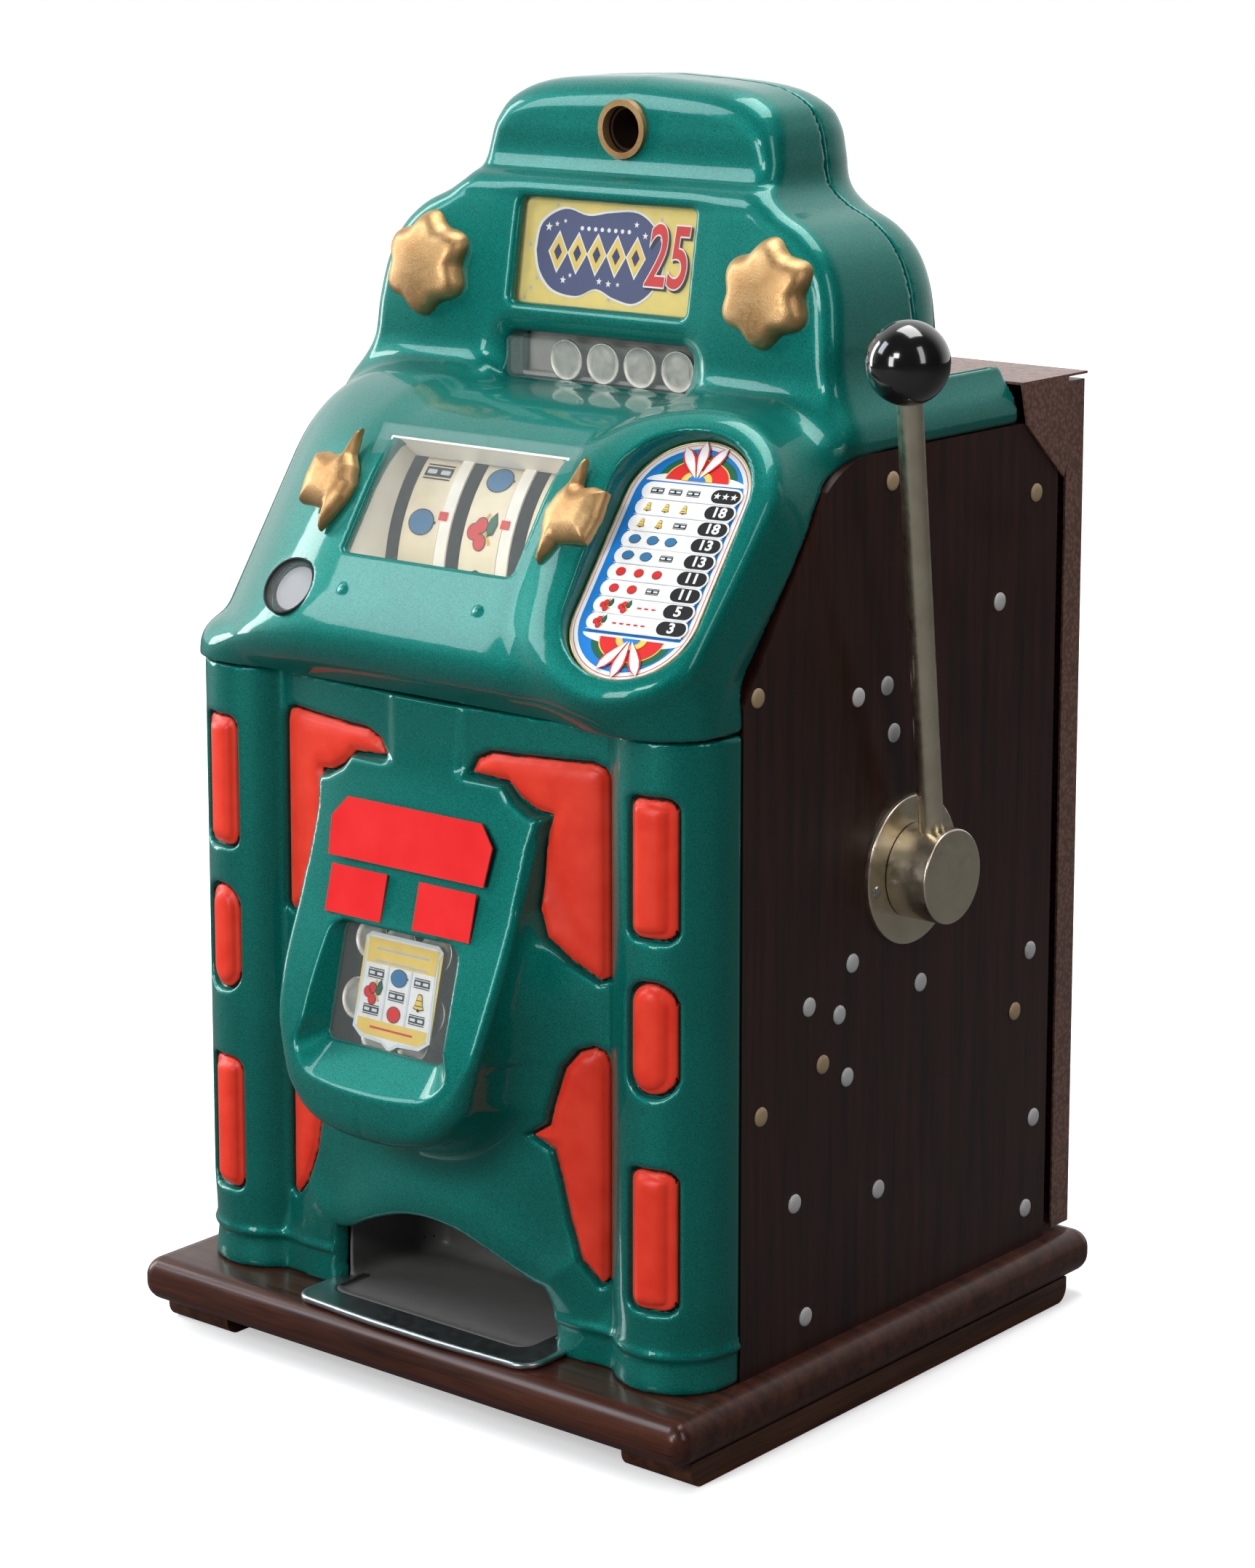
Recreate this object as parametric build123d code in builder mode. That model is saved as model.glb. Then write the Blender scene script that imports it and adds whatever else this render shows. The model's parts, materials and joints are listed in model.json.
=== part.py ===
"""Mechanical three-reel slot machine: wooden cabinet, cast front, side handle and rear door.

Frame: +X is the handle side, -Y is the front, +Z is up.  The origin is on the table, under the
middle of the cabinet's width, where Y = 0 lies 190 mm behind the front edge of the casting.
"""
from build123d import *
from math import atan, cos, degrees, radians, sin, tan
import os

os.makedirs("parts", exist_ok=True)

# ---- driving dimensions (mm) -------------------------------------------------------------
half_width = 190.0          # outer face of each side board
board_thick = 16.0
base_z = 15.0               # underside of the base board
base_top = 41.5
base_half_x = 206.0
base_front = -212.0
base_back = 190.0
board_front = -140.0        # joint between the front castings and the side boards
board_back = 158.7
seam_z = 406.0              # joint between lower and upper casting
shelf_z = 568.0             # flat shelf around the head
crown_z = 739.0             # top of the head
wall = 5.0                  # casting wall
gap = 0.4                   # assembly clearance
coin_r = 12.13
coin_thick = 1.75

pillar_x = 158.0            # most forward line of each corner pillar
pillar_y = -185.0
corner_r = 34.0

panel_top = Vector(0, -143.3, 543.1)      # slanted front panel: a point on it and its slope
panel_slope = 56.2
reel_r = 98.0
reel_pitch = 46.0
reel_width = 27.0
reel_y = -42.0
reel_z = 457.0

handle_y = 14.0
handle_z = 300.5
hub_r = 27.2
hub_out = 220.0
rod_r = 7.2
knob_r = 23.0
knob_at = Vector(241, -66, 601)
shaft_r = 8.0

door_front = 168.0
door_back = 186.0
door_bottom = 44.0
door_top = 561.5
hinge_x = -195.0
hinge_y = 190.0
pin_r = 3.0
run_gap = 0.05              # radial clearance of a running fit

slope_dir = Vector(0, cos(radians(panel_slope)), sin(radians(panel_slope)))
panel_plane = Plane(origin=panel_top, x_dir=(1, 0, 0), z_dir=(0, -slope_dir.Z, slope_dir.Y))


def save(piece, name):
    """Label a finished piece and write it as its own STEP file."""
    piece.part.label = name
    export_step(piece.part, f"parts/{name}.step")


# ---- wooden base and cabinet -------------------------------------------------------------
with BuildPart() as base_board:
    with BuildSketch(Plane.XY.offset(base_z)):
        with Locations((0, (base_front + base_back) / 2)):
            RectangleRounded(2 * base_half_x, base_back - base_front, 9)
    extrude(amount=base_top - base_z)
    fillet(base_board.edges().filter_by(GeomType.LINE).filter_by(Axis.Z, reverse=True), 11)
save(base_board, "base_board")

foot_x = 175.5
foot_wide = 49.0
with BuildPart() as base_feet:
    for side in (-1, 1):
        with BuildSketch(Plane.XY):
            with Locations((side * foot_x, -12.5)):
                Rectangle(foot_wide, 365)
        extrude(amount=base_z)
    fillet(base_feet.edges().filter_by(Axis.X).group_by(Axis.Z)[0], 9)
save(base_feet, "base_feet")

slant_low = (board_front, 419.0)
slant_high = (-67.0, 526.0)
shoulder = (-23.0, 542.0)


with BuildPart() as board_blank:
    with BuildSketch(Plane.YZ):
        with BuildLine():
            Line((board_front, base_top), slant_low)
            Line(slant_low, slant_high)
            ThreePointArc(slant_high, (-46, 538.5), shoulder)
            Line(shoulder, (board_back, shoulder[1]))
            Line((board_back, shoulder[1]), (board_back, base_top))
            Line((board_back, base_top), (board_front, base_top))
        make_face()
    extrude(amount=half_width, both=True)

bush_r = 13.0
with BuildPart() as side_board_left:
    add(board_blank.part)
    with Locations((board_thick / 2, 0, shelf_z / 2)):
        Box(2 * half_width - board_thick, 500, 700, mode=Mode.SUBTRACT)
save(side_board_left, "side_board_left")

with BuildPart() as side_board_right:
    add(board_blank.part)
    with Locations((-board_thick / 2, 0, shelf_z / 2)):
        Box(2 * half_width - board_thick, 500, 700, mode=Mode.SUBTRACT)
    with BuildSketch(Plane.YZ.offset(half_width - board_thick)):
        with Locations((handle_y, handle_z)):
            Circle(bush_r)
    extrude(amount=board_thick, mode=Mode.SUBTRACT)
save(side_board_right, "side_board_right")

# ---- lower front casting -----------------------------------------------------------------
arch_half = 80.0
arch_top = 106.0
arch_spring = 70.0          # where the arch's straight sides end
chin_half = 90.0
shield_lean = degrees(atan(37.5 / 150))      # the shield leans back over its height


def plan_face(inset):
    """Plan view of the lower casting's front, moved inwards by inset."""
    front = pillar_y + inset
    turn = corner_r - inset
    side_x = half_width - inset
    with BuildSketch(Plane.XY.offset(base_top)) as plan:
        with BuildLine():
            half = [(72, -181), (96, -177), (114, -171), (128, -170), (138, -177), (148, -183)]
            Polyline((-pillar_x, front), *[(-x, y + inset) for x, y in reversed(half)],
                     *[(x, y + inset) for x, y in half], (pillar_x, front))
            ThreePointArc((pillar_x, front), (side_x - 0.3 * turn, front + 0.3 * turn),
                          (side_x, front + turn))
            Polyline((side_x, front + turn), (side_x, board_front), (-side_x, board_front),
                     (-side_x, front + turn))
            ThreePointArc((-side_x, front + turn), (-side_x + 0.3 * turn, front + 0.3 * turn),
                          (-pillar_x, front))
        make_face()
    return plan.sketch


def chin_profile(inset):
    """Side view of the bulging shield, moved inwards by inset."""
    with BuildSketch(Plane.YZ) as profile:
        with BuildLine():
            Polyline((-160, 364), (-186 + inset, 364), (-223.5 + inset, 214 + inset / 4),
                     (-240 + inset, 192), (-239 + inset, 170 + inset), (-222, 157 + inset),
                     (-160, 148 + inset), (-160, 364))
        make_face()
    return profile.sketch


def chin_front(inset):
    """Front view of the bulging shield, moved inwards by inset."""
    with BuildSketch(Plane.XZ) as front:
        with BuildLine():
            Polyline((-82, 352), (-24, 364), (24, 364), (82, 352), (72, 215), (66, 190), (36, 157),
                     (-36, 157), (-66, 190), (-72, 215), (-82, 352))
        make_face()
        if inset:
            offset(amount=-inset, kind=Kind.INTERSECTION)
    return front.sketch


with BuildPart() as chin_solid:
    extrude(to_extrude=chin_profile(0), amount=chin_half, both=True)
    extrude(to_extrude=chin_front(0), amount=300, both=True, mode=Mode.INTERSECT)
with BuildPart() as chin_hollow:
    extrude(to_extrude=chin_profile(wall), amount=chin_half, both=True)
    extrude(to_extrude=chin_front(wall), amount=300, both=True, mode=Mode.INTERSECT)

pads = ((296.5, 372.6), (210.0, 273.0), (87.0, 166.0))
pad_in = 146.0
pad_out = 176.0
pad_root = -174.0
jackpot_half = 42.5
jackpot_low = 211.5
jackpot_high = 275.8

with BuildPart() as lower_casting:
    extrude(to_extrude=plan_face(0), amount=seam_z - gap - base_top)
    add(chin_solid.part)
    extrude(to_extrude=plan_face(wall), amount=seam_z - gap - base_top, mode=Mode.SUBTRACT)
    with Locations((0, board_front, seam_z / 2)):
        Box(2 * (half_width - wall), 2, 2 * seam_z, mode=Mode.SUBTRACT)
    add(chin_hollow.part, mode=Mode.SUBTRACT)
    with BuildSketch(Plane.XZ.offset(140)):
        with BuildLine():
            Polyline((-arch_half, arch_spring), (-arch_half, base_top - 1),
                     (arch_half, base_top - 1), (arch_half, arch_spring))
            ThreePointArc((arch_half, arch_spring), (64, 96), (0, arch_top))
            ThreePointArc((0, arch_top), (-64, 96), (-arch_half, arch_spring))
        make_face()
    extrude(amount=80, mode=Mode.SUBTRACT)
    with BuildSketch(Plane.XZ.offset(150)):
        with Locations((0, (jackpot_low + jackpot_high) / 2)):
            RectangleRounded(2 * jackpot_half, jackpot_high - jackpot_low, 4)
    extrude(amount=110, mode=Mode.SUBTRACT)
    for low, high in pads:
        for side in (-1, 1):
            with BuildSketch(Plane.XZ.offset(-pad_root)):
                with Locations((side * (pad_in + pad_out) / 2, (low + high) / 2)):
                    RectangleRounded(pad_out - pad_in, high - low, 9)
            extrude(amount=20, mode=Mode.SUBTRACT)
    with Locations((0, -172, base_top + 1.5)):
        Box(200, 40, 3, mode=Mode.SUBTRACT)
save(lower_casting, "lower_casting")

# ---- red inserts of the lower casting ----------------------------------------------------
pad_gap = 0.5
pad_rise = 9.0
with BuildPart() as pillar_pads:
    for side in (-1, 1):
        for low, high in pads:
            with BuildSketch(Plane.XZ.offset(-pad_root)):
                with Locations((side * (pad_in + pad_out) / 2, (low + high) / 2)):
                    RectangleRounded(pad_out - pad_in - 2 * pad_gap, high - low - 2 * pad_gap, 8)
            extrude(amount=pad_rise)
save(pillar_pads, "pillar_pads")

insert_rise = 4.0           # how far the wings and leaves stand out of the casting
insert_front = 215.0


def raised_inserts(outline):
    """A mirrored pair of inserts lying on the casting's front between shield and pillars."""
    with BuildPart() as pair:
        for side in (-1, 1):
            with BuildSketch(Plane.XZ.offset(-board_front)):
                with BuildLine():
                    Polyline(*[(side * x, z) for x, z in outline], close=True)
                make_face()
            extrude(amount=insert_front + board_front)
        extrude(to_extrude=plan_face(-insert_rise), amount=seam_z - base_top, mode=Mode.INTERSECT)
        extrude(to_extrude=plan_face(0), amount=seam_z - base_top, mode=Mode.SUBTRACT)
        add(chin_solid.part, mode=Mode.SUBTRACT)
    return pair.part


wing = ((30, 366), (36, 377), (46, 381.5), (112, 383.5), (118, 381), (120.5, 376), (121, 264),
        (115, 261.5), (98, 271), (85, 283), (80, 302), (82, 333), (86.5, 351), (84, 354),
        (76, 356), (65, 360), (57, 366))
with BuildPart() as wing_inserts:
    add(raised_inserts(wing))
save(wing_inserts, "wing_inserts")

leaf = ((112, 224.5), (118, 222), (120.5, 215), (120.5, 92), (116, 88.5), (104, 101), (96, 122),
        (91, 144), (86, 161), (76, 168), (84, 176), (89, 192), (95, 211), (103, 221))
with BuildPart() as leaf_inserts:
    add(raised_inserts(leaf))
save(leaf_inserts, "leaf_inserts")

inlay_thick = 1.0
inlay_plane = Plane(origin=(0, -223.5, 214), x_dir=(1, 0, 0),
                    z_dir=(0, -cos(radians(shield_lean)), sin(radians(shield_lean))))
with BuildPart() as shield_inlays:
    with BuildSketch(inlay_plane.offset(0.05)):
        with BuildLine():
            Polyline((-58, 100), (-60, 122), (-50, 134), (50, 134), (60, 122), (58, 100), close=True)
        make_face()
        with Locations((-33, 82), (33, 82)):
            Rectangle(42, 27)
    extrude(amount=inlay_thick)
save(shield_inlays, "shield_inlays")

# ---- upper casting -----------------------------------------------------------------------
head_seam_y = 40.0
head_back = 80.0
sign_half = 65.3
sign_low = 608.0
sign_high = 668.0
slot_half = 70.0
slot_low = 562.5
slot_high = 590.0
ring_z = 709.5
ring_hole_r = 14.0
window_half = 65.0
window_long = 74.0
window_mid = -36.0                        # middle of the reel window, down the slope
lens_at = (-92.0, -95.0)
lens_r = 15.5
card_wide = 78.0
card_long = 155.0
card_turn = 8.0                           # the card's facet turns outwards
card_slope = 47.4
card_up = Vector(-sin(radians(card_turn)) * cos(radians(card_slope)),
                 cos(radians(card_turn)) * cos(radians(card_slope)), sin(radians(card_slope)))
card_right = Vector(cos(radians(card_turn)), sin(radians(card_turn)), 0)
card_plane = Plane(origin=(138.8, -147.1, 495.5), x_dir=card_right, z_dir=card_right.cross(card_up))


def body_profile(inset):
    """Side view of the slanted front and the shelf, moved inwards by inset."""
    with BuildSketch(Plane.YZ) as profile:
        with BuildLine():
            Polyline((117, seam_z - inset), (-178 + inset, seam_z - inset),
                     (-197 + inset, 415), (-213 + inset, 432), (-209 + 1.2 * inset, 445),
                     (-139 + 1.2 * inset, 549.5), (-128 + inset, 558.5 - inset),
                     (-40, 566 - inset), (117, shelf_z - inset), (117, seam_z - inset))
        make_face()
    return profile.sketch


head_half = [(186, 560), (174, 575), (170, 600), (166, 625), (158, 645), (143, 661), (118, 672),
             (108, 684), (107, 700), (103, 715), (90, 728), (60, 736), (0, crown_z)]


def head_face(inset):
    """Front view of the head, moved inwards by inset."""
    right = [(x - inset, z - inset * (z > 655)) for x, z in head_half[:-1]]
    with BuildSketch(Plane.XZ.offset(-head_back)) as face:
        with BuildLine():
            Polyline((right[0][0], 540), *right, (0, crown_z - inset),
                     *[(-x, z) for x, z in reversed(right)], (-right[0][0], 540),
                     (right[0][0], 540))
        make_face()
    return face.sketch


def head_profile(inset, back):
    """Side view of the head, moved inwards by inset and ending at back."""
    with BuildSketch(Plane.YZ) as profile:
        with BuildLine():
            Polyline((-42 + inset, 540), (-38 + inset, 600), (-27 + inset, 668), (-23 + inset, 678),
                     (-12 + inset, 684), (-7 + inset, 730), (3, crown_z), (back, crown_z), (back, 540),
                     (-42 + inset, 540))
        make_face()
    return profile.sketch


def stadium(inset, plane):
    """The pay card's outline on a plane parallel to its facet, moved inwards by inset."""
    with BuildSketch(plane) as outline:
        SlotOverall(card_long - 2 * inset, card_wide - 2 * inset, rotation=90)
    return outline.sketch


def head_block(inset, back):
    """The head between its front and the plane Y = back, moved inwards by inset."""
    with BuildPart() as block:
        extrude(to_extrude=head_face(inset), amount=200)
        extrude(to_extrude=head_profile(inset, back), amount=half_width, both=True,
                mode=Mode.INTERSECT)
    return block.part


def slanted_body(inset):
    """The slanted front and shelf with its two sloping corners, moved inwards by inset."""
    with BuildPart() as body:
        extrude(to_extrude=body_profile(inset), amount=half_width - inset, both=True)
        for side in (-1, 1):
            facet = Plane(origin=(side * (105 - inset), -169 + inset, 502),
                          z_dir=(side * 0.527, -0.70, 0.482))
            split(bisect_by=facet, keep=Keep.BOTTOM)
    return body.part


card_sink = 4.0
with BuildPart() as upper_casting:
    add(slanted_body(0))
    add(head_block(0, head_seam_y))
    add(slanted_body(wall), mode=Mode.SUBTRACT)
    add(head_block(wall, head_back), mode=Mode.SUBTRACT)
    extrude(to_extrude=stadium(-5, card_plane), amount=4)
    extrude(to_extrude=stadium(-5, card_plane), amount=-card_sink - wall)
    extrude(to_extrude=stadium(0, card_plane.offset(-card_sink)), amount=60, mode=Mode.SUBTRACT)
    add(board_blank.part, mode=Mode.SUBTRACT)
    with Locations((0, 60, 300)):
        Box(2 * half_width - 2 * board_thick, 420, 2 * (seam_z + gap) - 600, mode=Mode.SUBTRACT)
    with BuildSketch(Plane.XZ.offset(10)):
        with Locations((0, (sign_low + sign_high) / 2)):
            RectangleRounded(2 * sign_half, sign_high - sign_low, 4)
        with Locations((0, (slot_low + slot_high) / 2)):
            RectangleRounded(2 * slot_half, slot_high - slot_low, 5)
    extrude(amount=50, mode=Mode.SUBTRACT)
    with BuildSketch(Plane.XZ.offset(-5)):
        with Locations((0, ring_z)):
            Circle(ring_hole_r)
    extrude(amount=40, mode=Mode.SUBTRACT)
    with BuildSketch(panel_plane.offset(-20)):
        with Locations((0, window_mid)):
            RectangleRounded(2 * window_half, window_long, 4)
        with Locations(lens_at):
            Circle(lens_r)
    extrude(amount=40, mode=Mode.SUBTRACT)
    with BuildSketch(panel_plane.offset(-wall)):
        with Locations(lens_at):
            Circle(lens_r + 5)
    extrude(amount=-40, mode=Mode.SUBTRACT)
    with BuildSketch(Plane.XZ.offset(5.5)):
        with Locations((0, ring_z)):
            Circle(17.2)
    extrude(amount=20, mode=Mode.SUBTRACT)
save(upper_casting, "upper_casting")

with BuildPart() as crown_rear_shell:
    add(head_block(0, head_back))
    add(head_block(wall, head_back - wall), mode=Mode.SUBTRACT)
    with Locations((0, head_seam_y + gap - 200, 600)):
        Box(600, 400, 600, mode=Mode.SUBTRACT)
    with Locations((0, 60, shelf_z - 200)):
        Box(600, 400, 400, mode=Mode.SUBTRACT)
save(crown_rear_shell, "crown_rear_shell")

# ---- windows, cards and trim of the upper casting ----------------------------------------
glass_thick = 2.5
sign_lean = 8.5
sign_plane = Plane(origin=(0, -24.5, 638), x_dir=(1, 0, 0),
                   z_dir=(0, -cos(radians(sign_lean)), sin(radians(sign_lean))))
with BuildPart() as sign_glass:
    with BuildSketch(sign_plane.offset(-glass_thick)):
        Rectangle(150, 74)
    extrude(amount=glass_thick)
save(sign_glass, "sign_glass")

card_thick = 0.8
with BuildPart() as sign_card:
    with BuildSketch(sign_plane.offset(-glass_thick - gap - card_thick)):
        Rectangle(146, 70)
    extrude(amount=card_thick)
save(sign_card, "sign_card")

escalator_z = 576.0
coin_step = 27.6
cover_y = -34.0
with BuildPart() as escalator_cover:
    with BuildSketch(Plane.XZ.offset(-cover_y - 2)):
        with Locations((0, escalator_z)):
            RectangleRounded(136, 24, 4)
    extrude(amount=2)
    with BuildSketch(Plane.XZ.offset(-cover_y - 12)):
        with Locations((0, escalator_z)):
            RectangleRounded(136, 24, 4)
            RectangleRounded(133, 21, 3, mode=Mode.SUBTRACT)
    extrude(amount=12)
save(escalator_cover, "escalator_cover")

with BuildPart() as escalator_plate:
    with BuildSketch(Plane.XZ.offset(-cover_y - 26)):
        with Locations((0, escalator_z)):
            Rectangle(150, 30)
    extrude(amount=4)
    with BuildSketch(Plane.XZ.offset(-cover_y - 12.4)):
        with Locations((0, escalator_z - 11)):
            Rectangle(132, 2)
    extrude(amount=-10)
save(escalator_plate, "escalator_plate")

with BuildPart() as escalator_coins:
    for place in range(4):
        with BuildSketch(Plane.XZ.offset(-cover_y - 16)):
            with Locations((-29 + place * coin_step, escalator_z + 2.3)):
                Circle(coin_r)
        extrude(amount=coin_thick)
save(escalator_coins, "escalator_coins")

with BuildPart() as entry_ring:
    with BuildSketch(Plane.XZ.offset(6)):
        with Locations((0, ring_z)):
            Circle(17)
            Circle(13.4, mode=Mode.SUBTRACT)
    extrude(amount=6)
save(entry_ring, "entry_ring")

with BuildPart() as entry_throat:
    with BuildSketch(Plane.XZ.offset(-24)):
        with Locations((0, ring_z)):
            Circle(13.2)
    extrude(amount=29)
    with BuildSketch(Plane.XZ.offset(-18)):
        with Locations((0, ring_z)):
            Circle(11.5)
    extrude(amount=40, mode=Mode.SUBTRACT)
    with BuildSketch(Plane.XZ.offset(-25)):
        with Locations((4, ring_z + 1)):
            Circle(4.5)
    extrude(amount=10, mode=Mode.SUBTRACT)
save(entry_throat, "entry_throat")

chute_x = 17.0
chute_top = 692.0
with BuildPart() as coin_chute:
    with BuildSketch(Plane.XY.offset(594)):
        with Locations((0, 6)):
            Rectangle(2 * chute_x, 9)
            Rectangle(2 * chute_x - 3, 6, mode=Mode.SUBTRACT)
    extrude(amount=chute_top - 594)
save(coin_chute, "coin_chute")

star_x = 125.7
face_lean = 9.2
star_plane = Plane(origin=(0, -38 + 27 * tan(radians(face_lean)) - 0.2, 627), x_dir=(1, 0, 0),
                   z_dir=(0, -cos(radians(face_lean)), sin(radians(face_lean))))
with BuildPart() as star_medallions:
    for side in (-1, 1):
        with BuildSketch(star_plane):
            with BuildLine():
                points = []
                for step in range(12):
                    reach = 29.0 if step % 2 == 0 else 20.0
                    turn = radians(30 * step + 15)
                    points.append((side * star_x + reach * cos(turn), reach * sin(turn)))
                Polyline(*points, close=True)
            make_face()
        extrude(amount=14, taper=20)
save(star_medallions, "star_medallions")

arrow = ((83, 0), (86, -22), (104, -18), (107, -50), (88, -54), (84, -63), (80, -42), (80, -20))
arrow_thick = 5.0
with BuildPart() as arrow_medallions:
    for side in (-1, 1):
        with BuildSketch(panel_plane.offset(0.3)):
            with BuildLine():
                Polyline(*[(side * x, z) for x, z in arrow], close=True)
            make_face()
        extrude(amount=arrow_thick)
save(arrow_medallions, "arrow_medallions")

with BuildPart() as reel_glass:
    with BuildSketch(panel_plane.offset(-wall - glass_thick - 0.2)):
        with Locations((0, window_mid)):
            Rectangle(146, 90)
    extrude(amount=glass_thick)
save(reel_glass, "reel_glass")

mask_bar = 8.0              # width of the bars between the reels
mask_r = 104.0              # the mask is curved around the reels
mask_thick = 1.2
mask_front = wall + glass_thick + 0.4
mask_half = 64.5
mask_long = 75.0
mask_reach = 60.0
mask_top = 47.0             # elevation of the openings' upper edge, seen from the reel shaft
mask_sight = 150.0          # length of the wedge that cuts the openings


def tray(half, length):
    """A block under the reel window, half wide and length long, reaching down to the reels."""
    with BuildPart() as block:
        with BuildSketch(panel_plane.offset(-mask_front)):
            with Locations((0, window_mid)):
                Rectangle(2 * half, length)
        extrude(amount=-mask_reach)
    return block.part


with BuildPart() as mask_sheet:
    with BuildSketch(Plane(origin=(-mask_half, reel_y, reel_z), z_dir=(1, 0, 0))):
        Circle(mask_r)
        Circle(mask_r - mask_thick, mode=Mode.SUBTRACT)
    extrude(amount=2 * mask_half)
    add(tray(mask_half + mask_thick, mask_long + 2 * mask_thick), mode=Mode.INTERSECT)
    for place in (-1, 0, 1):
        middle = place * (mask_half + (reel_pitch + mask_bar) / 2) / 2
        width = reel_pitch - mask_bar if place == 0 else mask_half - (reel_pitch + mask_bar) / 2
        with BuildSketch(Plane.YZ.offset(middle - width / 2)):
            with BuildLine():
                Polyline((reel_y, reel_z),
                         (reel_y - mask_sight * cos(radians(mask_top)),
                          reel_z + mask_sight * sin(radians(mask_top))),
                         (reel_y - 2 * mask_sight, reel_z), (reel_y, reel_z))
            make_face()
        extrude(amount=width, mode=Mode.SUBTRACT)

with BuildPart() as reel_mask:
    add(tray(mask_half + mask_thick, mask_long + 2 * mask_thick))
    add(tray(mask_half, mask_long), mode=Mode.SUBTRACT)
    with BuildSketch(Plane(origin=(-2 * mask_half, reel_y, reel_z), z_dir=(1, 0, 0))):
        Circle(mask_r - mask_thick)
    extrude(amount=4 * mask_half, mode=Mode.SUBTRACT)
    add(mask_sheet.part)
save(reel_mask, "reel_mask")

with BuildPart() as lens:
    with BuildSketch(panel_plane.offset(-wall - glass_thick - 0.2)):
        with Locations(lens_at):
            Circle(lens_r + 4)
    extrude(amount=glass_thick)
save(lens, "coin_check_lens")

with BuildPart() as check_disc:
    with BuildSketch(panel_plane.offset(-wall - glass_thick - 8)):
        with Locations(lens_at):
            Circle(14)
    extrude(amount=1.8)
save(check_disc, "coin_check_disc")

with BuildPart() as pay_card_plate:
    extrude(to_extrude=stadium(0.3, card_plane.offset(-card_sink)), amount=2.2)
save(pay_card_plate, "pay_card_plate")

with BuildPart() as pay_card:
    extrude(to_extrude=stadium(1.2, card_plane.offset(-card_sink + 2.2)), amount=0.6)
save(pay_card, "pay_card")

# ---- jackpot window ----------------------------------------------------------------------
jackpot_mid = (jackpot_low + jackpot_high) / 2
jackpot_plane = Plane(origin=(0, -215.5 + 5.6, jackpot_mid), x_dir=(1, 0, 0),
                      z_dir=inlay_plane.z_dir)
with BuildPart() as jackpot_glass:
    with BuildSketch(jackpot_plane.offset(-glass_thick)):
        Rectangle(92, 74)
    extrude(amount=glass_thick)
save(jackpot_glass, "jackpot_glass")

with BuildPart() as jackpot_card:
    with BuildSketch(jackpot_plane.offset(-glass_thick - 1.2)):
        with BuildLine():
            Polyline((-29, 27), (-25, 30), (25, 30), (29, 27), (29, -24), (22, -29), (6, -30),
                     (0, -34), (-6, -30), (-22, -29), (-29, -24), close=True)
        make_face()
    extrude(amount=0.6)
save(jackpot_card, "jackpot_card")

with BuildPart() as jackpot_coins:
    for row in range(3):
        for column in range(-1, 2):
            depth = -glass_thick - 4 - 2.2 * ((row + column) % 2)
            with BuildSketch(jackpot_plane.offset(depth)):
                with Locations((column * 27 + 6 * (row % 2) - 3, -22 + row * 24.6)):
                    Circle(coin_r)
            extrude(amount=coin_thick)
save(jackpot_coins, "jackpot_coins")

jackpot_box_back = -150.0
sheet = 1.5                 # sheet steel of the fittings inside
jackpot_box_half = 48.0
with BuildPart() as jackpot_shell:
    with BuildSketch(Plane.YZ.offset(-jackpot_box_half)):
        with BuildLine():
            Polyline((jackpot_box_back, 180), (-193, 192), (-184, 290), (jackpot_box_back, 290),
                     close=True)
        make_face()
    extrude(amount=2 * jackpot_box_half)
    with BuildSketch(Plane.YZ.offset(-jackpot_box_half + sheet)):
        with BuildLine():
            Polyline((jackpot_box_back - sheet, 170), (-210, 170), (-210, 300),
                     (jackpot_box_back - sheet, 300), close=True)
        make_face()
    extrude(amount=2 * (jackpot_box_half - sheet), mode=Mode.SUBTRACT)

trap_z = 190.0
trap_pin_r = 2.0
trap_y = jackpot_box_back - 7
with BuildPart() as jackpot_trap:
    with Locations((0, -175, trap_z)):
        Box(88, 34, 2)
    with BuildSketch(Plane.YZ.offset(-43)):
        with Locations((trap_y, trap_z)):
            Circle(4)
    extrude(amount=86)
    with BuildSketch(Plane.YZ.offset(-44)):
        with Locations((trap_y, trap_z)):
            Circle(trap_pin_r + run_gap)
    extrude(amount=88, mode=Mode.SUBTRACT)
save(jackpot_trap, "jackpot_trap")

with BuildPart() as jackpot_box:
    add(jackpot_shell.part)
    with BuildSketch(Plane.YZ.offset(-jackpot_box_half)):
        with Locations((trap_y, trap_z)):
            Circle(trap_pin_r)
    extrude(amount=2 * jackpot_box_half)
save(jackpot_box, "jackpot_box")

# ---- payout cup --------------------------------------------------------------------------
cup_half = 71.0
cup_front = -206.0
cup_back = -78.0
cup_wall = 1.5
lip_half = 98.0
with BuildPart() as payout_cup:
    with BuildSketch(Plane.XY.offset(base_top + 0.2)):
        with BuildLine():
            Polyline((-lip_half, -172), (-lip_half, -184), (-84, cup_front), (84, cup_front),
                     (lip_half, -184), (lip_half, -172), close=True)
        make_face()
    extrude(amount=2)
    with BuildSketch(Plane.XY.offset(base_top + 0.2)):
        with Locations((0, (cup_back - 186) / 2)):
            RectangleRounded(2 * cup_half, 186 + cup_back, 30)
    extrude(amount=62)
    with BuildSketch(Plane.XY.offset(base_top + 1.7)):
        with Locations((0, (cup_back - 186) / 2)):
            RectangleRounded(2 * cup_half - 2 * cup_wall, 186 + cup_back - 2 * cup_wall, 28.5)
    extrude(amount=80, mode=Mode.SUBTRACT)
    with Locations((0, -175, base_top + 2.2 + 50)):
        Box(300, 60, 100, mode=Mode.SUBTRACT)
save(payout_cup, "payout_cup")

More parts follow.
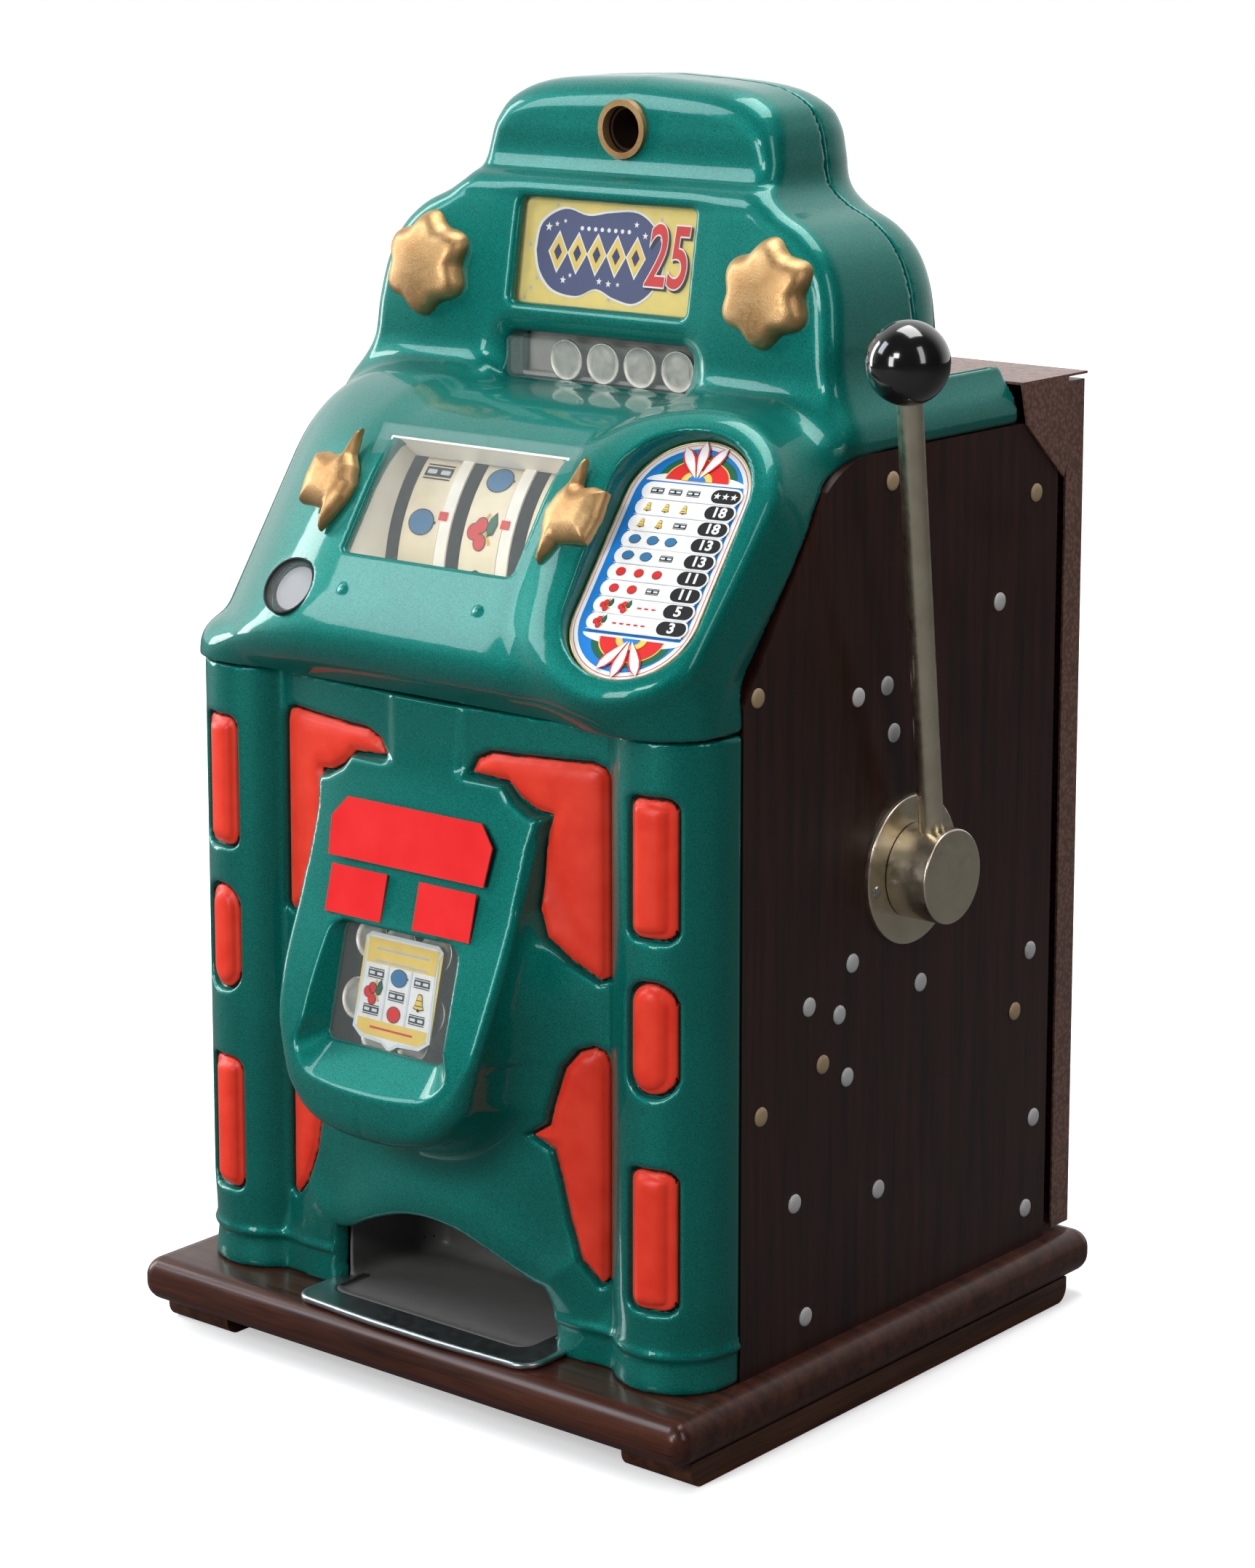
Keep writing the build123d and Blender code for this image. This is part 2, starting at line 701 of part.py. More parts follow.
# ---- fasteners and fittings on the sides -------------------------------------------------
nail_r = 5.0
nail_rise = 1.8
nails = ((-7, 525), (136, 500), (100, 441), (-128, 423), (-37, 408), (-10, 410), (-3, 382),
         (138, 225), (123, 191), (145, 120), (138, 65), (-40, 257), (26, 231), (-80, 241),
         (-52, 230), (-67, 205), (-44, 192), (-123, 189), (-92, 131), (-13, 118), (-81, 62))
with BuildPart() as side_nails:
    for side in (-1, 1):
        for y, z in nails:
            with BuildSketch(Plane(origin=(side * half_width, y, z), z_dir=(side, 0, 0))):
                Circle(nail_r)
            extrude(amount=nail_rise, taper=35)
save(side_nails, "side_nails")

plate_r = 43.0
plate_thick = 3.0
with BuildPart() as handle_plate:
    with BuildSketch(Plane.YZ.offset(half_width)):
        with Locations((handle_y, handle_z)):
            Circle(plate_r)
            Circle(bush_r + 0.3, mode=Mode.SUBTRACT)
    extrude(amount=plate_thick)
    fillet(handle_plate.edges().group_by(Axis.X)[-1].sort_by(SortBy.LENGTH)[-1], 1)
save(handle_plate, "handle_plate")

with BuildPart() as plate_screws:
    for turn in (70, 190, 310):
        with BuildSketch(Plane.YZ.offset(half_width + plate_thick)):
            with Locations((handle_y + 36 * cos(radians(turn)), handle_z + 36 * sin(radians(turn)))):
                Circle(3.6)
        extrude(amount=1, taper=30)
save(plate_screws, "handle_plate_screws")

with BuildPart() as handle_bush:
    with BuildSketch(Plane.YZ.offset(half_width - board_thick - 6)):
        with Locations((handle_y, handle_z)):
            Circle(bush_r)
            Circle(shaft_r + run_gap, mode=Mode.SUBTRACT)
    extrude(amount=board_thick + 6 + plate_thick - 0.5)
save(handle_bush, "handle_bush")

# ---- handle ------------------------------------------------------------------------------
hub_in = half_width + plate_thick + 0.5
with BuildPart() as handle_hub:
    with BuildSketch(Plane.YZ.offset(hub_in)):
        with Locations((handle_y, handle_z)):
            Circle(hub_r)
    extrude(amount=hub_out - hub_in)
    fillet(handle_hub.edges().group_by(Axis.X)[-1], 1.2)
save(handle_hub, "handle_hub")

rod_foot = Vector(206.5, handle_y - 2, handle_z + 20)
rod_dir = (knob_at - rod_foot).normalized()
rod_plane = Plane(origin=rod_foot, z_dir=rod_dir)
rod_length = (knob_at - rod_foot).length - knob_r + 6
with BuildPart() as handle_rod:
    with BuildSketch(rod_plane):
        Circle(rod_r)
    extrude(amount=rod_length)
    add(handle_hub.part, mode=Mode.SUBTRACT)
rod_tool = handle_rod.part

with BuildPart() as handle_knob:
    with Locations(knob_at):
        Sphere(knob_r)
    add(rod_tool, mode=Mode.SUBTRACT)
save(handle_rod, "handle_rod")
save(handle_knob, "handle_knob")

crank_x = 150.0
crank_thick = 8.0
with BuildPart() as handle_shaft:
    with BuildSketch(Plane.YZ.offset(crank_x)):
        with Locations((handle_y, handle_z)):
            Circle(shaft_r)
    extrude(amount=hub_in - crank_x)
save(handle_shaft, "handle_shaft")

with BuildPart() as crank:
    with BuildSketch(Plane.YZ.offset(crank_x)):
        with Locations((handle_y, handle_z)):
            Circle(15)
        with Locations((handle_y + 28, handle_z)):
            Rectangle(56, 16)
        with Locations((handle_y + 56, handle_z)):
            Circle(8)
        with Locations((handle_y, handle_z)):
            Circle(shaft_r, mode=Mode.SUBTRACT)
    extrude(amount=crank_thick)
    with BuildSketch(Plane.YZ.offset(crank_x - 10)):
        with Locations((handle_y + 56, handle_z)):
            Circle(5)
    extrude(amount=10)
save(crank, "operating_crank")

# ---- reels and mechanism -----------------------------------------------------------------
reel_shaft_r = 6.0
frame_x = 80.0
frame_thick = 3.0
mech_low = 236.0
strip_thick = 1.2
star_r = 58.0
star_teeth = 20


def at_reel(offset_x):
    """Sketch plane across the reel shaft at X = offset_x."""
    return Plane(origin=(offset_x, reel_y, reel_z), z_dir=(1, 0, 0))


for number in range(3):
    middle = (number - 1) * reel_pitch
    with BuildPart() as reel_strip:
        with BuildSketch(at_reel(middle - reel_width / 2)):
            Circle(reel_r)
            Circle(reel_r - strip_thick, mode=Mode.SUBTRACT)
        extrude(amount=reel_width)
    save(reel_strip, f"reel_strip_{number + 1}")
    with BuildPart() as reel_disc:
        with BuildSketch(at_reel(middle - 1)):
            Circle(reel_r - strip_thick)
            with PolarLocations(62, 5):
                Circle(24, mode=Mode.SUBTRACT)
        extrude(amount=2)
        with BuildSketch(at_reel(middle - 14)):
            Circle(11)
        extrude(amount=28)
        with BuildSketch(at_reel(middle - 17)):
            Circle(star_r)
            with PolarLocations(star_r + 1, star_teeth):
                Circle(4, mode=Mode.SUBTRACT)
            with PolarLocations(34, 5):
                Circle(13, mode=Mode.SUBTRACT)
        extrude(amount=3)
        with BuildSketch(at_reel(middle - 20)):
            Circle(reel_shaft_r + run_gap)
        extrude(amount=40, mode=Mode.SUBTRACT)
    save(reel_disc, f"reel_disc_{number + 1}")

with BuildPart() as reel_shaft:
    with BuildSketch(at_reel(-frame_x - 4)):
        Circle(reel_shaft_r)
    extrude(amount=2 * frame_x + 8)
    for place in (-1.5, -0.5, 0.5, 1.5):
        spacer = 13.5 if abs(place) < 1 else 12
        centre = place * reel_pitch + (1.5 if place < 0 else -1.5) * (abs(place) > 1)
        with BuildSketch(at_reel(centre - 1.5)):
            Circle(10)
        extrude(amount=3)
save(reel_shaft, "reel_shaft")

lever_y = 46.0
lever_z = 372.0
lever_pin_r = 4.0
fan_x = -110.0
fan_y = 70.0
fan_pin_r = 2.5
with BuildPart() as mechanism_frame:
    for side in (-1, 1):
        with BuildSketch(Plane.YZ.offset(side * frame_x - (frame_thick if side < 0 else 0))):
            with BuildLine():
                Polyline((-80, mech_low), (120, mech_low), (120, 300), (70, 420), (0, 470),
                         (-90, 470), (-95, 420), (-80, 300), close=True)
            make_face()
            with Locations((reel_y, reel_z)):
                Circle(reel_shaft_r, mode=Mode.SUBTRACT)
            with Locations((-30, 310)):
                Circle(26, mode=Mode.SUBTRACT)
        extrude(amount=frame_thick)
    with Locations((0, 20, mech_low + 2)):
        Box(2 * frame_x, 200, 4)
    for side in (-1, 1):
        with Locations((side * (frame_x + 47), 20, mech_low - 4)):
            Box(93.2, 240, 8)
    with BuildSketch(Plane(origin=(-frame_x, lever_y, lever_z), z_dir=(1, 0, 0))):
        Circle(lever_pin_r)
    extrude(amount=2 * frame_x)
    for level in (262.0, 322.0):
        with Locations(((fan_x - frame_x) / 2 - 4, fan_y, level)):
            Box(-(fan_x + frame_x) + 10, 16, 3)
    with BuildSketch(Plane(origin=(fan_x, fan_y, 260), z_dir=(0, 0, 1))):
        Circle(fan_pin_r)
    extrude(amount=64)
save(mechanism_frame, "mechanism_frame")

with BuildPart() as stop_levers:
    with BuildSketch(Plane(origin=(-70, lever_y, lever_z), z_dir=(1, 0, 0))):
        Circle(8)
    extrude(amount=140)
    for number in range(3):
        middle = (number - 1) * reel_pitch - 15.5
        with BuildSketch(Plane.YZ.offset(middle - 1.5)):
            with BuildLine():
                Polyline((lever_y - 4, lever_z - 6), (lever_y + 6, lever_z - 4),
                         (lever_y - 8, lever_z - 62), (lever_y - 16, lever_z - 60), close=True)
            make_face()
        extrude(amount=3)
    with BuildSketch(Plane(origin=(-72, lever_y, lever_z), z_dir=(1, 0, 0))):
        Circle(lever_pin_r + run_gap)
    extrude(amount=144, mode=Mode.SUBTRACT)
save(stop_levers, "stop_levers")

with BuildPart() as governor_fan:
    with BuildSketch(Plane(origin=(fan_x, fan_y, 266), z_dir=(0, 0, 1))):
        Circle(6)
    extrude(amount=52)
    with BuildSketch(Plane(origin=(fan_x, fan_y, 280), z_dir=(0, 0, 1))):
        Rectangle(52, 1.5)
    extrude(amount=30)
    with BuildSketch(Plane(origin=(fan_x, fan_y, 260), z_dir=(0, 0, 1))):
        Circle(fan_pin_r + run_gap)
    extrude(amount=66, mode=Mode.SUBTRACT)
save(governor_fan, "governor_fan")

tube_x = 112.0
tube_y = -90.0
tube_low = 262.0
with BuildPart() as coin_tube:
    with BuildSketch(Plane(origin=(tube_x, tube_y, tube_low), z_dir=(0, 0, 1))):
        Circle(16)
        Circle(14, mode=Mode.SUBTRACT)
    extrude(amount=150)
    with Locations((tube_x - 22, tube_y, tube_low + 10), (tube_x - 22, tube_y, tube_low + 130)):
        Box(14, 12, 3)
    for side in (-1, 1):
        with Locations((tube_x + side * 21, tube_y + 6, tube_low - 6)):
            Box(4, 74, 12)
        with Locations((tube_x + side * 17.5, tube_y + 6, tube_low - 12.2)):
            Box(3.6, 74, 1.6)
    with Locations((tube_x, tube_y, tube_low + 2)):
        Box(46, 40, 4)
    with BuildSketch(Plane(origin=(tube_x, tube_y, tube_low), z_dir=(0, 0, 1))):
        Circle(14)
    extrude(amount=10, mode=Mode.SUBTRACT)
save(coin_tube, "coin_tube")

with BuildPart() as payout_slide:
    with Locations((tube_x, tube_y, tube_low - 7)):
        Box(37, 52, 7)
    with Locations((tube_x, tube_y + 44, tube_low - 7)):
        Box(12, 40, 4)
    with BuildSketch(Plane(origin=(tube_x, tube_y, tube_low - 12), z_dir=(0, 0, 1))):
        Circle(coin_r + 0.4)
    extrude(amount=12, mode=Mode.SUBTRACT)
save(payout_slide, "payout_slide")

cash_wall = 2.0
cash_size = (220, 130, 130)
cash_at = (-20, 60, base_top + 0.2)
with BuildPart() as cash_box:
    with BuildSketch(Plane(origin=cash_at, z_dir=(0, 0, 1))):
        RectangleRounded(cash_size[0], cash_size[1], 6)
    extrude(amount=cash_size[2])
    with BuildSketch(Plane(origin=(cash_at[0], cash_at[1], cash_at[2] + cash_wall), z_dir=(0, 0, 1))):
        RectangleRounded(cash_size[0] - 2 * cash_wall, cash_size[1] - 2 * cash_wall, 4)
    extrude(amount=cash_size[2], mode=Mode.SUBTRACT)
save(cash_box, "cash_box")

# ---- rear frame and door -----------------------------------------------------------------
with BuildPart() as rear_frame:
    with Locations((0, (118 + 186) / 2, 565.5)):
        Box(2 * (half_width + sheet), 186 - 118, sheet)
    for side in (-1, 1):
        with BuildSketch(Plane.YZ.offset(side * half_width if side > 0 else -half_width - sheet)):
            with BuildLine():
                Polyline((118, 565), (124, 541), (147, 520), (163, 506), (166.2, 517),
                         (166.2, 565), close=True)
            make_face()
        extrude(amount=sheet)
save(rear_frame, "rear_frame")

door_x = 189.5
lock_x = 145.0
lock_z = 330.0
lock_r = 11.0
with BuildPart() as back_door:
    with Locations((0, (door_front + door_back) / 2, (door_bottom + door_top) / 2)):
        Box(2 * door_x, door_back - door_front, door_top - door_bottom)
    with Locations((0, (door_front + door_back) / 2 - sheet, (door_bottom + door_top) / 2)):
        Box(2 * (door_x - sheet), door_back - door_front, door_top - door_bottom - 2 * sheet,
            mode=Mode.SUBTRACT)
    with BuildSketch(Plane.XZ.offset(-door_back - 5)):
        with Locations((lock_x, lock_z)):
            Circle(lock_r)
    extrude(amount=20, mode=Mode.SUBTRACT)
    for level in (130.0, 450.0):
        with Locations((hinge_x + 8.5, hinge_y - 3.2, level)):
            Box(15, 1.6, 24)
        with BuildSketch(Plane(origin=(hinge_x, hinge_y, level - 12), z_dir=(0, 0, 1))):
            Circle(pin_r + 2)
        extrude(amount=24)
        with BuildSketch(Plane(origin=(hinge_x, hinge_y, level - 12), z_dir=(0, 0, 1))):
            Circle(pin_r + run_gap)
        extrude(amount=24, mode=Mode.SUBTRACT)
save(back_door, "back_door")

with BuildPart() as door_hinges:
    for level in (130.0, 450.0):
        with BuildSketch(Plane(origin=(hinge_x, hinge_y, level - 34), z_dir=(0, 0, 1))):
            Circle(pin_r)
        extrude(amount=68)
        for shift in (-34.0, 12.4):
            with BuildSketch(Plane(origin=(hinge_x, hinge_y, level + shift), z_dir=(0, 0, 1))):
                Circle(pin_r + 2)
                with Locations((-2.5, -40)):
                    Rectangle(2, 80)
            extrude(amount=21.6)
save(door_hinges, "door_hinges")

cam_long = 18.0             # from the lock's axis to the middle of the cam's end
cam_end_r = 6.0
with BuildPart() as door_lock:
    with BuildSketch(Plane.XZ.offset(-door_back - 4)):
        with Locations((lock_x, lock_z)):
            Circle(lock_r - run_gap)
    extrude(amount=30)
    with BuildSketch(Plane.XZ.offset(-door_back - 4)):
        with Locations((lock_x, lock_z)):
            Rectangle(1.5, 8)
    extrude(amount=6, mode=Mode.SUBTRACT)
    with BuildSketch(Plane.XZ.offset(-150)):
        with Locations((lock_x, lock_z - cam_long / 2)):
            Rectangle(2 * cam_end_r, cam_long)
        with Locations((lock_x, lock_z)):
            Circle(8)
        with Locations((lock_x, lock_z - cam_long)):
            Circle(cam_end_r)
    extrude(amount=-3)
    with BuildSketch(Plane.XZ.offset(-150)):
        with Locations((lock_x, lock_z)):
            Circle(6)
    extrude(amount=-12)
save(door_lock, "door_lock")

with BuildPart() as lock_strike:
    with Locations((168.7, 156, lock_z)):
        Box(10.6, 2, 24)
    with Locations((173, 147, lock_z)):
        Box(2, 20, 24)
save(lock_strike, "lock_strike")
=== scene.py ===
"""Looks of a mechanical slot machine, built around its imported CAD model.

Field functions work in millimetres in the part's own frame: +X is the handle side, -Y the front and
+Z up.  Meshes are in metres.
"""
import json
from math import cos, pi, radians, sin

import bpy
import numpy as np
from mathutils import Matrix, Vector


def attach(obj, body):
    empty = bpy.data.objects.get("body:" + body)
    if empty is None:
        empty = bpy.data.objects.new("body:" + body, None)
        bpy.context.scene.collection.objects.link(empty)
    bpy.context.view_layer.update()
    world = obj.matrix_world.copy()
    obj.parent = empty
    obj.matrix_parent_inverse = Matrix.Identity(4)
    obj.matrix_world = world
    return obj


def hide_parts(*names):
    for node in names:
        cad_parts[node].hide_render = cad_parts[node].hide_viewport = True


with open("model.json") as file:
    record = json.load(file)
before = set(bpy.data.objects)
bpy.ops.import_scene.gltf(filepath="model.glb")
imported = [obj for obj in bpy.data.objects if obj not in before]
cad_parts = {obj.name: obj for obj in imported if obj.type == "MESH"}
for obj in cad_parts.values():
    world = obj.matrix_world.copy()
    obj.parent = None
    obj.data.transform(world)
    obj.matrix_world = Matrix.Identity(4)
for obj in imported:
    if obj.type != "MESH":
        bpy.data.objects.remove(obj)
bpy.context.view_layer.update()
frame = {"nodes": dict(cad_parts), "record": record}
nodes = frame["nodes"]
scene = bpy.context.scene
MM = 0.001
STEP = 2.0  # mesh size of the large skins
RED_STEP = 1.6  # and of the red pieces and the payout cup

# ---- camera and lights ----
AZIMUTH = radians(39.39)
DOWN = radians(10.29)


def link(name, data):
    """A new object in the scene."""
    item = bpy.data.objects.new(name, data)
    scene.collection.objects.link(item)
    return item


camera = link("camera", bpy.data.cameras.new("camera"))
camera.location = (1.4479, -1.769, 0.8791)
toward = Vector((-sin(AZIMUTH) * cos(DOWN), cos(AZIMUTH) * cos(DOWN), -sin(DOWN)))
camera.rotation_euler = toward.to_track_quat("-Z", "Y").to_euler()
camera.data.sensor_width = 36
camera.data.lens = 91.17
camera.data.shift_y = -0.15
scene.camera = camera


# Softboxes that point at the machine: place, width and height, watts.
for name, place, size, power in (
        ("key", (-1.7, -1.6, 2.1), (0.8, 1.3), 25), ("left", (-2.3, -0.6, 1.1), (0.5, 1.9), 34),
        ("front", (0.35, -2.3, 1.6), (0.6, 0.5), 17), ("low", (-0.2, -2.7, 0.95), (0.6, 1.1), 25),
        ("top", (0.1, 0.3, 2.4), (1.4, 1.0), 36), ("side", (2.1, -0.5, 1.5), (0.5, 1.6), 13)):
    light = link(name, bpy.data.lights.new(name, "AREA"))
    light.data.shape = "RECTANGLE"
    light.data.size, light.data.size_y = size
    light.data.energy = power
    light.data.color = (0.92, 1.0, 1.06) if name == "key" else (1, 1, 1)
    light.location = place
    toward = Vector((0, -0.05, 0.4)) - Vector(place)
    light.rotation_euler = toward.to_track_quat("-Z", "Y").to_euler()


class Nodes:
    """Adds nodes to a tree."""

    def __init__(self, tree):
        self.tree = tree

    def feed(self, socket, value):
        """Links an output to a socket, or sets the socket's own value."""
        if isinstance(value, bpy.types.NodeSocket):
            self.tree.links.new(value, socket)
        else:
            socket.default_value = value

    def add(self, kind, *ordered, operation=None, **named):
        """A new node; its inputs are given in order or by name."""
        node = self.tree.nodes.new("ShaderNode" + kind)
        if operation:
            node.operation = operation
        for socket, value in zip(node.inputs, ordered):
            self.feed(socket, value)
        for key, value in named.items():
            self.feed(node.inputs[key.replace("_", " ")], value)
        return node

    def math(self, operation, first, second):
        """One arithmetic step."""
        return self.add("Math", first, second, operation=operation).outputs[0]


# The world is white to the camera; reflections find it bright ahead and dark behind the camera.
scene.view_settings.view_transform = "Standard"
scene.world = bpy.data.worlds.new("studio")
scene.world.use_nodes = True
studio = Nodes(scene.world.node_tree)
ahead = studio.add("VectorMath", studio.add("TexCoord").outputs["Generated"],
                   (-sin(AZIMUTH), cos(AZIMUTH), 0), operation="DOT_PRODUCT")
gradient = studio.add("MapRange", Value=ahead.outputs["Value"], From_Min=-0.05, From_Max=0.65,
                      To_Min=0.02, To_Max=1.0)
gradient.interpolation_type = "SMOOTHSTEP"
direct = studio.add("LightPath").outputs["Is Camera Ray"]
sky = scene.world.node_tree.nodes["Background"]
sky.inputs["Strength"].default_value = 1.0
studio.feed(sky.inputs["Color"], studio.math("MAXIMUM", gradient.outputs["Result"], direct))


def link_mesh(name, points, faces, smooth=True):
    """A mesh object from points in millimetres and faces."""
    mesh = bpy.data.meshes.new(name)
    mesh.from_pydata([tuple(float(c) * MM for c in p) for p in points], [], faces)
    mesh.polygons.foreach_set("use_smooth", [smooth] * len(mesh.polygons))
    mesh.update()
    return link(name, mesh)


# ---- materials ----
LOOKS = {}  # every material, by the name it is made under


class Paint(Nodes):
    """A Principled material with a few procedural layers."""

    def __init__(self, name, color, metal=0.0, coat=0.0, coat_rough=0.05, spec=0.5):
        LOOKS[name] = bpy.data.materials.new(name)
        LOOKS[name].use_nodes = True
        super().__init__(LOOKS[name].node_tree)
        self.shader = self.tree.nodes["Principled BSDF"]
        self.place = self.add("TexCoord").outputs["Object"]
        self.set(Base_Color=(*color, 1), Metallic=metal, Coat_Weight=coat,
                 Coat_Roughness=coat_rough, Specular_IOR_Level=spec)

    def set(self, **sockets):
        """Sets or links the shader's own sockets."""
        for key, value in sockets.items():
            self.feed(self.shader.inputs[key.replace("_", " ")], value)

    def noise(self, scale, detail, stretch=(1, 1, 1), rough=0.5):
        """Noise in metres of the part's frame, stretched along an axis."""
        mapping = self.add("Mapping", Vector=self.place, Scale=stretch)
        return self.add("TexNoise", Vector=mapping.outputs[0], Scale=scale, Detail=detail,
                        Roughness=rough).outputs["Fac"]

    def ramp(self, source, *stops):
        """A colour ramp over source; stops are (position, colour or grey)."""
        node = self.add("ValToRGB", source)
        elements = node.color_ramp.elements
        while len(elements) < len(stops):
            elements.new(0.5)
        for element, (position, value) in zip(elements, stops):
            element.position = position
            element.color = (*value, 1) if isinstance(value, tuple) else (value, value, value, 1)
        return node.outputs["Color"]

    def bump(self, source, depth, strength, socket="Normal"):
        """Bump of depth metres from source."""
        node = self.add("Bump", Height=source, Strength=strength, Distance=depth)
        self.set(**{socket: node.outputs["Normal"]})

    def vary_rough(self, scale, low, high):
        """Roughness that drifts between two values."""
        self.set(Roughness=self.ramp(self.noise(scale, 4), (0.3, low), (0.7, high)))


def mottled(name, dark, light, patches, rough, grain=None, **shader):
    """A material that drifts from dark to light.

    patches is (scale, detail, low, high) of the drift; rough is one value, or (scale, low, high);
    grain is (scale, detail, depth, strength) of the bump.
    """
    paint = Paint(name, light, **shader)
    scale, detail, low, high = patches
    paint.set(Base_Color=paint.ramp(paint.noise(scale, detail), (low, dark), (high, light)))
    if isinstance(rough, tuple):
        paint.vary_rough(*rough)
    else:
        paint.set(Roughness=rough)
    if grain:
        scale, detail, depth, strength = grain
        paint.bump(paint.noise(scale, detail), depth, strength)


def nickel(name, dark, light, low, high):
    """Nickel plate gone warm and dull in use."""
    mottled(name, dark, light, (40, 5, 0.25, 0.6), (160, low, high), (1200, 2, 0.00005, 0.5),
            metal=1.0)


def metal(name, dark, light, low, high):
    """Metal with cloudy patches."""
    mottled(name, dark, light, (90, 5, 0.3, 0.7), (220, low, high), (700, 3, 0.0001, 0.5),
            metal=1.0)


def printed(name, color, rough=0.5):
    """Printed card or paint of one colour, faintly mottled."""
    dim = tuple(c * 0.9 for c in color)
    mottled(name, dim, color, (120, 3, 0.3, 0.7), rough, (1500, 2, 0.00003, 0.5), spec=0.2)


def lacquered(name, dark, light, axis):
    """Stained wood under gloss lacquer; the grain runs along axis."""
    paint = Paint(name, light, coat=0.35, coat_rough=0.16, spec=0.25)
    coarse, fine = [16.0] * 3, [16.0] * 3
    coarse[axis], fine[axis] = 0.9, 0.4
    grain = paint.math("ADD", paint.math("MULTIPLY", paint.noise(9, 6, coarse, 0.62), 0.7),
                       paint.math("MULTIPLY", paint.noise(60, 3, fine), 0.3))
    paint.set(Base_Color=paint.ramp(grain, (0.36, dark), (0.66, light)), Coat_IOR=1.38)
    paint.bump(grain, 0.0003, 0.35)
    paint.vary_rough(25, 0.3, 0.45)


# Deep teal metallic enamel under clear lacquer.
paint = Paint("green_enamel", (0.0, 0.19, 0.16), metal=0.5, coat=0.75, coat_rough=0.07, spec=0.15)
flake = paint.noise(2600, 2)
color = paint.ramp(flake, (0.36, (0.0, 0.085, 0.068)), (0.5, (0.0, 0.165, 0.135)),
                   (0.68, (0.0, 0.28, 0.235)))
clouded = paint.add("Mix")
clouded.data_type = "RGBA"
clouded.blend_type = "MULTIPLY"
cloud = paint.ramp(paint.noise(14, 3), (0.3, 0.86), (0.7, 1.0))
for index, value in ((0, 1.0), (6, color), (7, cloud)):
    paint.feed(clouded.inputs[index], value)
paint.set(Base_Color=clouded.outputs[2], Coat_IOR=1.38)
paint.vary_rough(900, 0.42, 0.54)
wave = paint.noise(45, 2)
paint.bump(wave, 0.0006, 0.25, "Coat_Normal")
paint.bump(paint.math("ADD", wave, paint.math("MULTIPLY", flake, 0.02)), 0.0006, 0.25)

# Brown hammered enamel on sheet steel.
paint = Paint("brown_hammertone", (0.11, 0.055, 0.038), coat=0.3, coat_rough=0.2)
cells = paint.add("TexVoronoi", Vector=paint.place, Scale=380.0).outputs["Distance"]
paint.set(Base_Color=paint.ramp(cells, (0.1, (0.26, 0.125, 0.09)), (0.7, (0.12, 0.056, 0.04))))
paint.bump(cells, 0.0004, 0.4)
paint.vary_rough(120, 0.34, 0.5)

# Thin clear glass, kept cheap: mostly see-through with a glossy face.
paint = Paint("clear_glass", (0.9, 0.97, 0.95), spec=0.25)
paint.set(Alpha=0.05)
paint.vary_rough(40, 0.02, 0.05)

mottled("red_enamel", (0.80, 0.034, 0.014), (0.90, 0.056, 0.026), (60, 3, 0.3, 0.7),
        (300, 0.36, 0.5), (220, 4, 0.0002, 0.5), coat=0.1, coat_rough=0.25, spec=0.25)
mottled("shield_inlays", (0.80, 0.010, 0.013), (0.88, 0.022, 0.024), (35, 3, 0.3, 0.7), 0.55,
        (700, 3, 0.0001, 0.6), spec=0.15)
mottled("gold_enamel", (0.36, 0.19, 0.07), (0.52, 0.33, 0.15), (50, 3, 0.25, 0.7),
        (500, 0.36, 0.52), (900, 3, 0.0002, 0.6), metal=0.8)
mottled("black_knob", (0.004, 0.004, 0.004), (0.010, 0.010, 0.010), (30, 3, 0.3, 0.7),
        (80, 0.09, 0.16), coat=0.6, coat_rough=0.03)
lacquered("dark_lacquered_wood", (0.010, 0.0026, 0.0018), (0.040, 0.0105, 0.0065), 2)
lacquered("base_wood", (0.022, 0.0062, 0.0038), (0.085, 0.025, 0.013), 0)
lacquered("base_feet", (0.035, 0.012, 0.006), (0.11, 0.040, 0.018), 1)
nickel("worn_nickel", (0.58, 0.50, 0.37), (0.72, 0.64, 0.50), 0.26, 0.38)
nickel("lip_steel", (0.34, 0.37, 0.38), (0.42, 0.46, 0.47), 0.30, 0.38)
metal("galvanised_steel", (0.28, 0.29, 0.30), (0.50, 0.51, 0.52), 0.38, 0.6)
metal("polished_steel", (0.40, 0.40, 0.39), (0.55, 0.55, 0.54), 0.22, 0.36)
metal("coin_silver", (0.36, 0.34, 0.30), (0.56, 0.53, 0.47), 0.42, 0.55)
metal("brass", (0.32, 0.20, 0.08), (0.60, 0.40, 0.16), 0.28, 0.45)
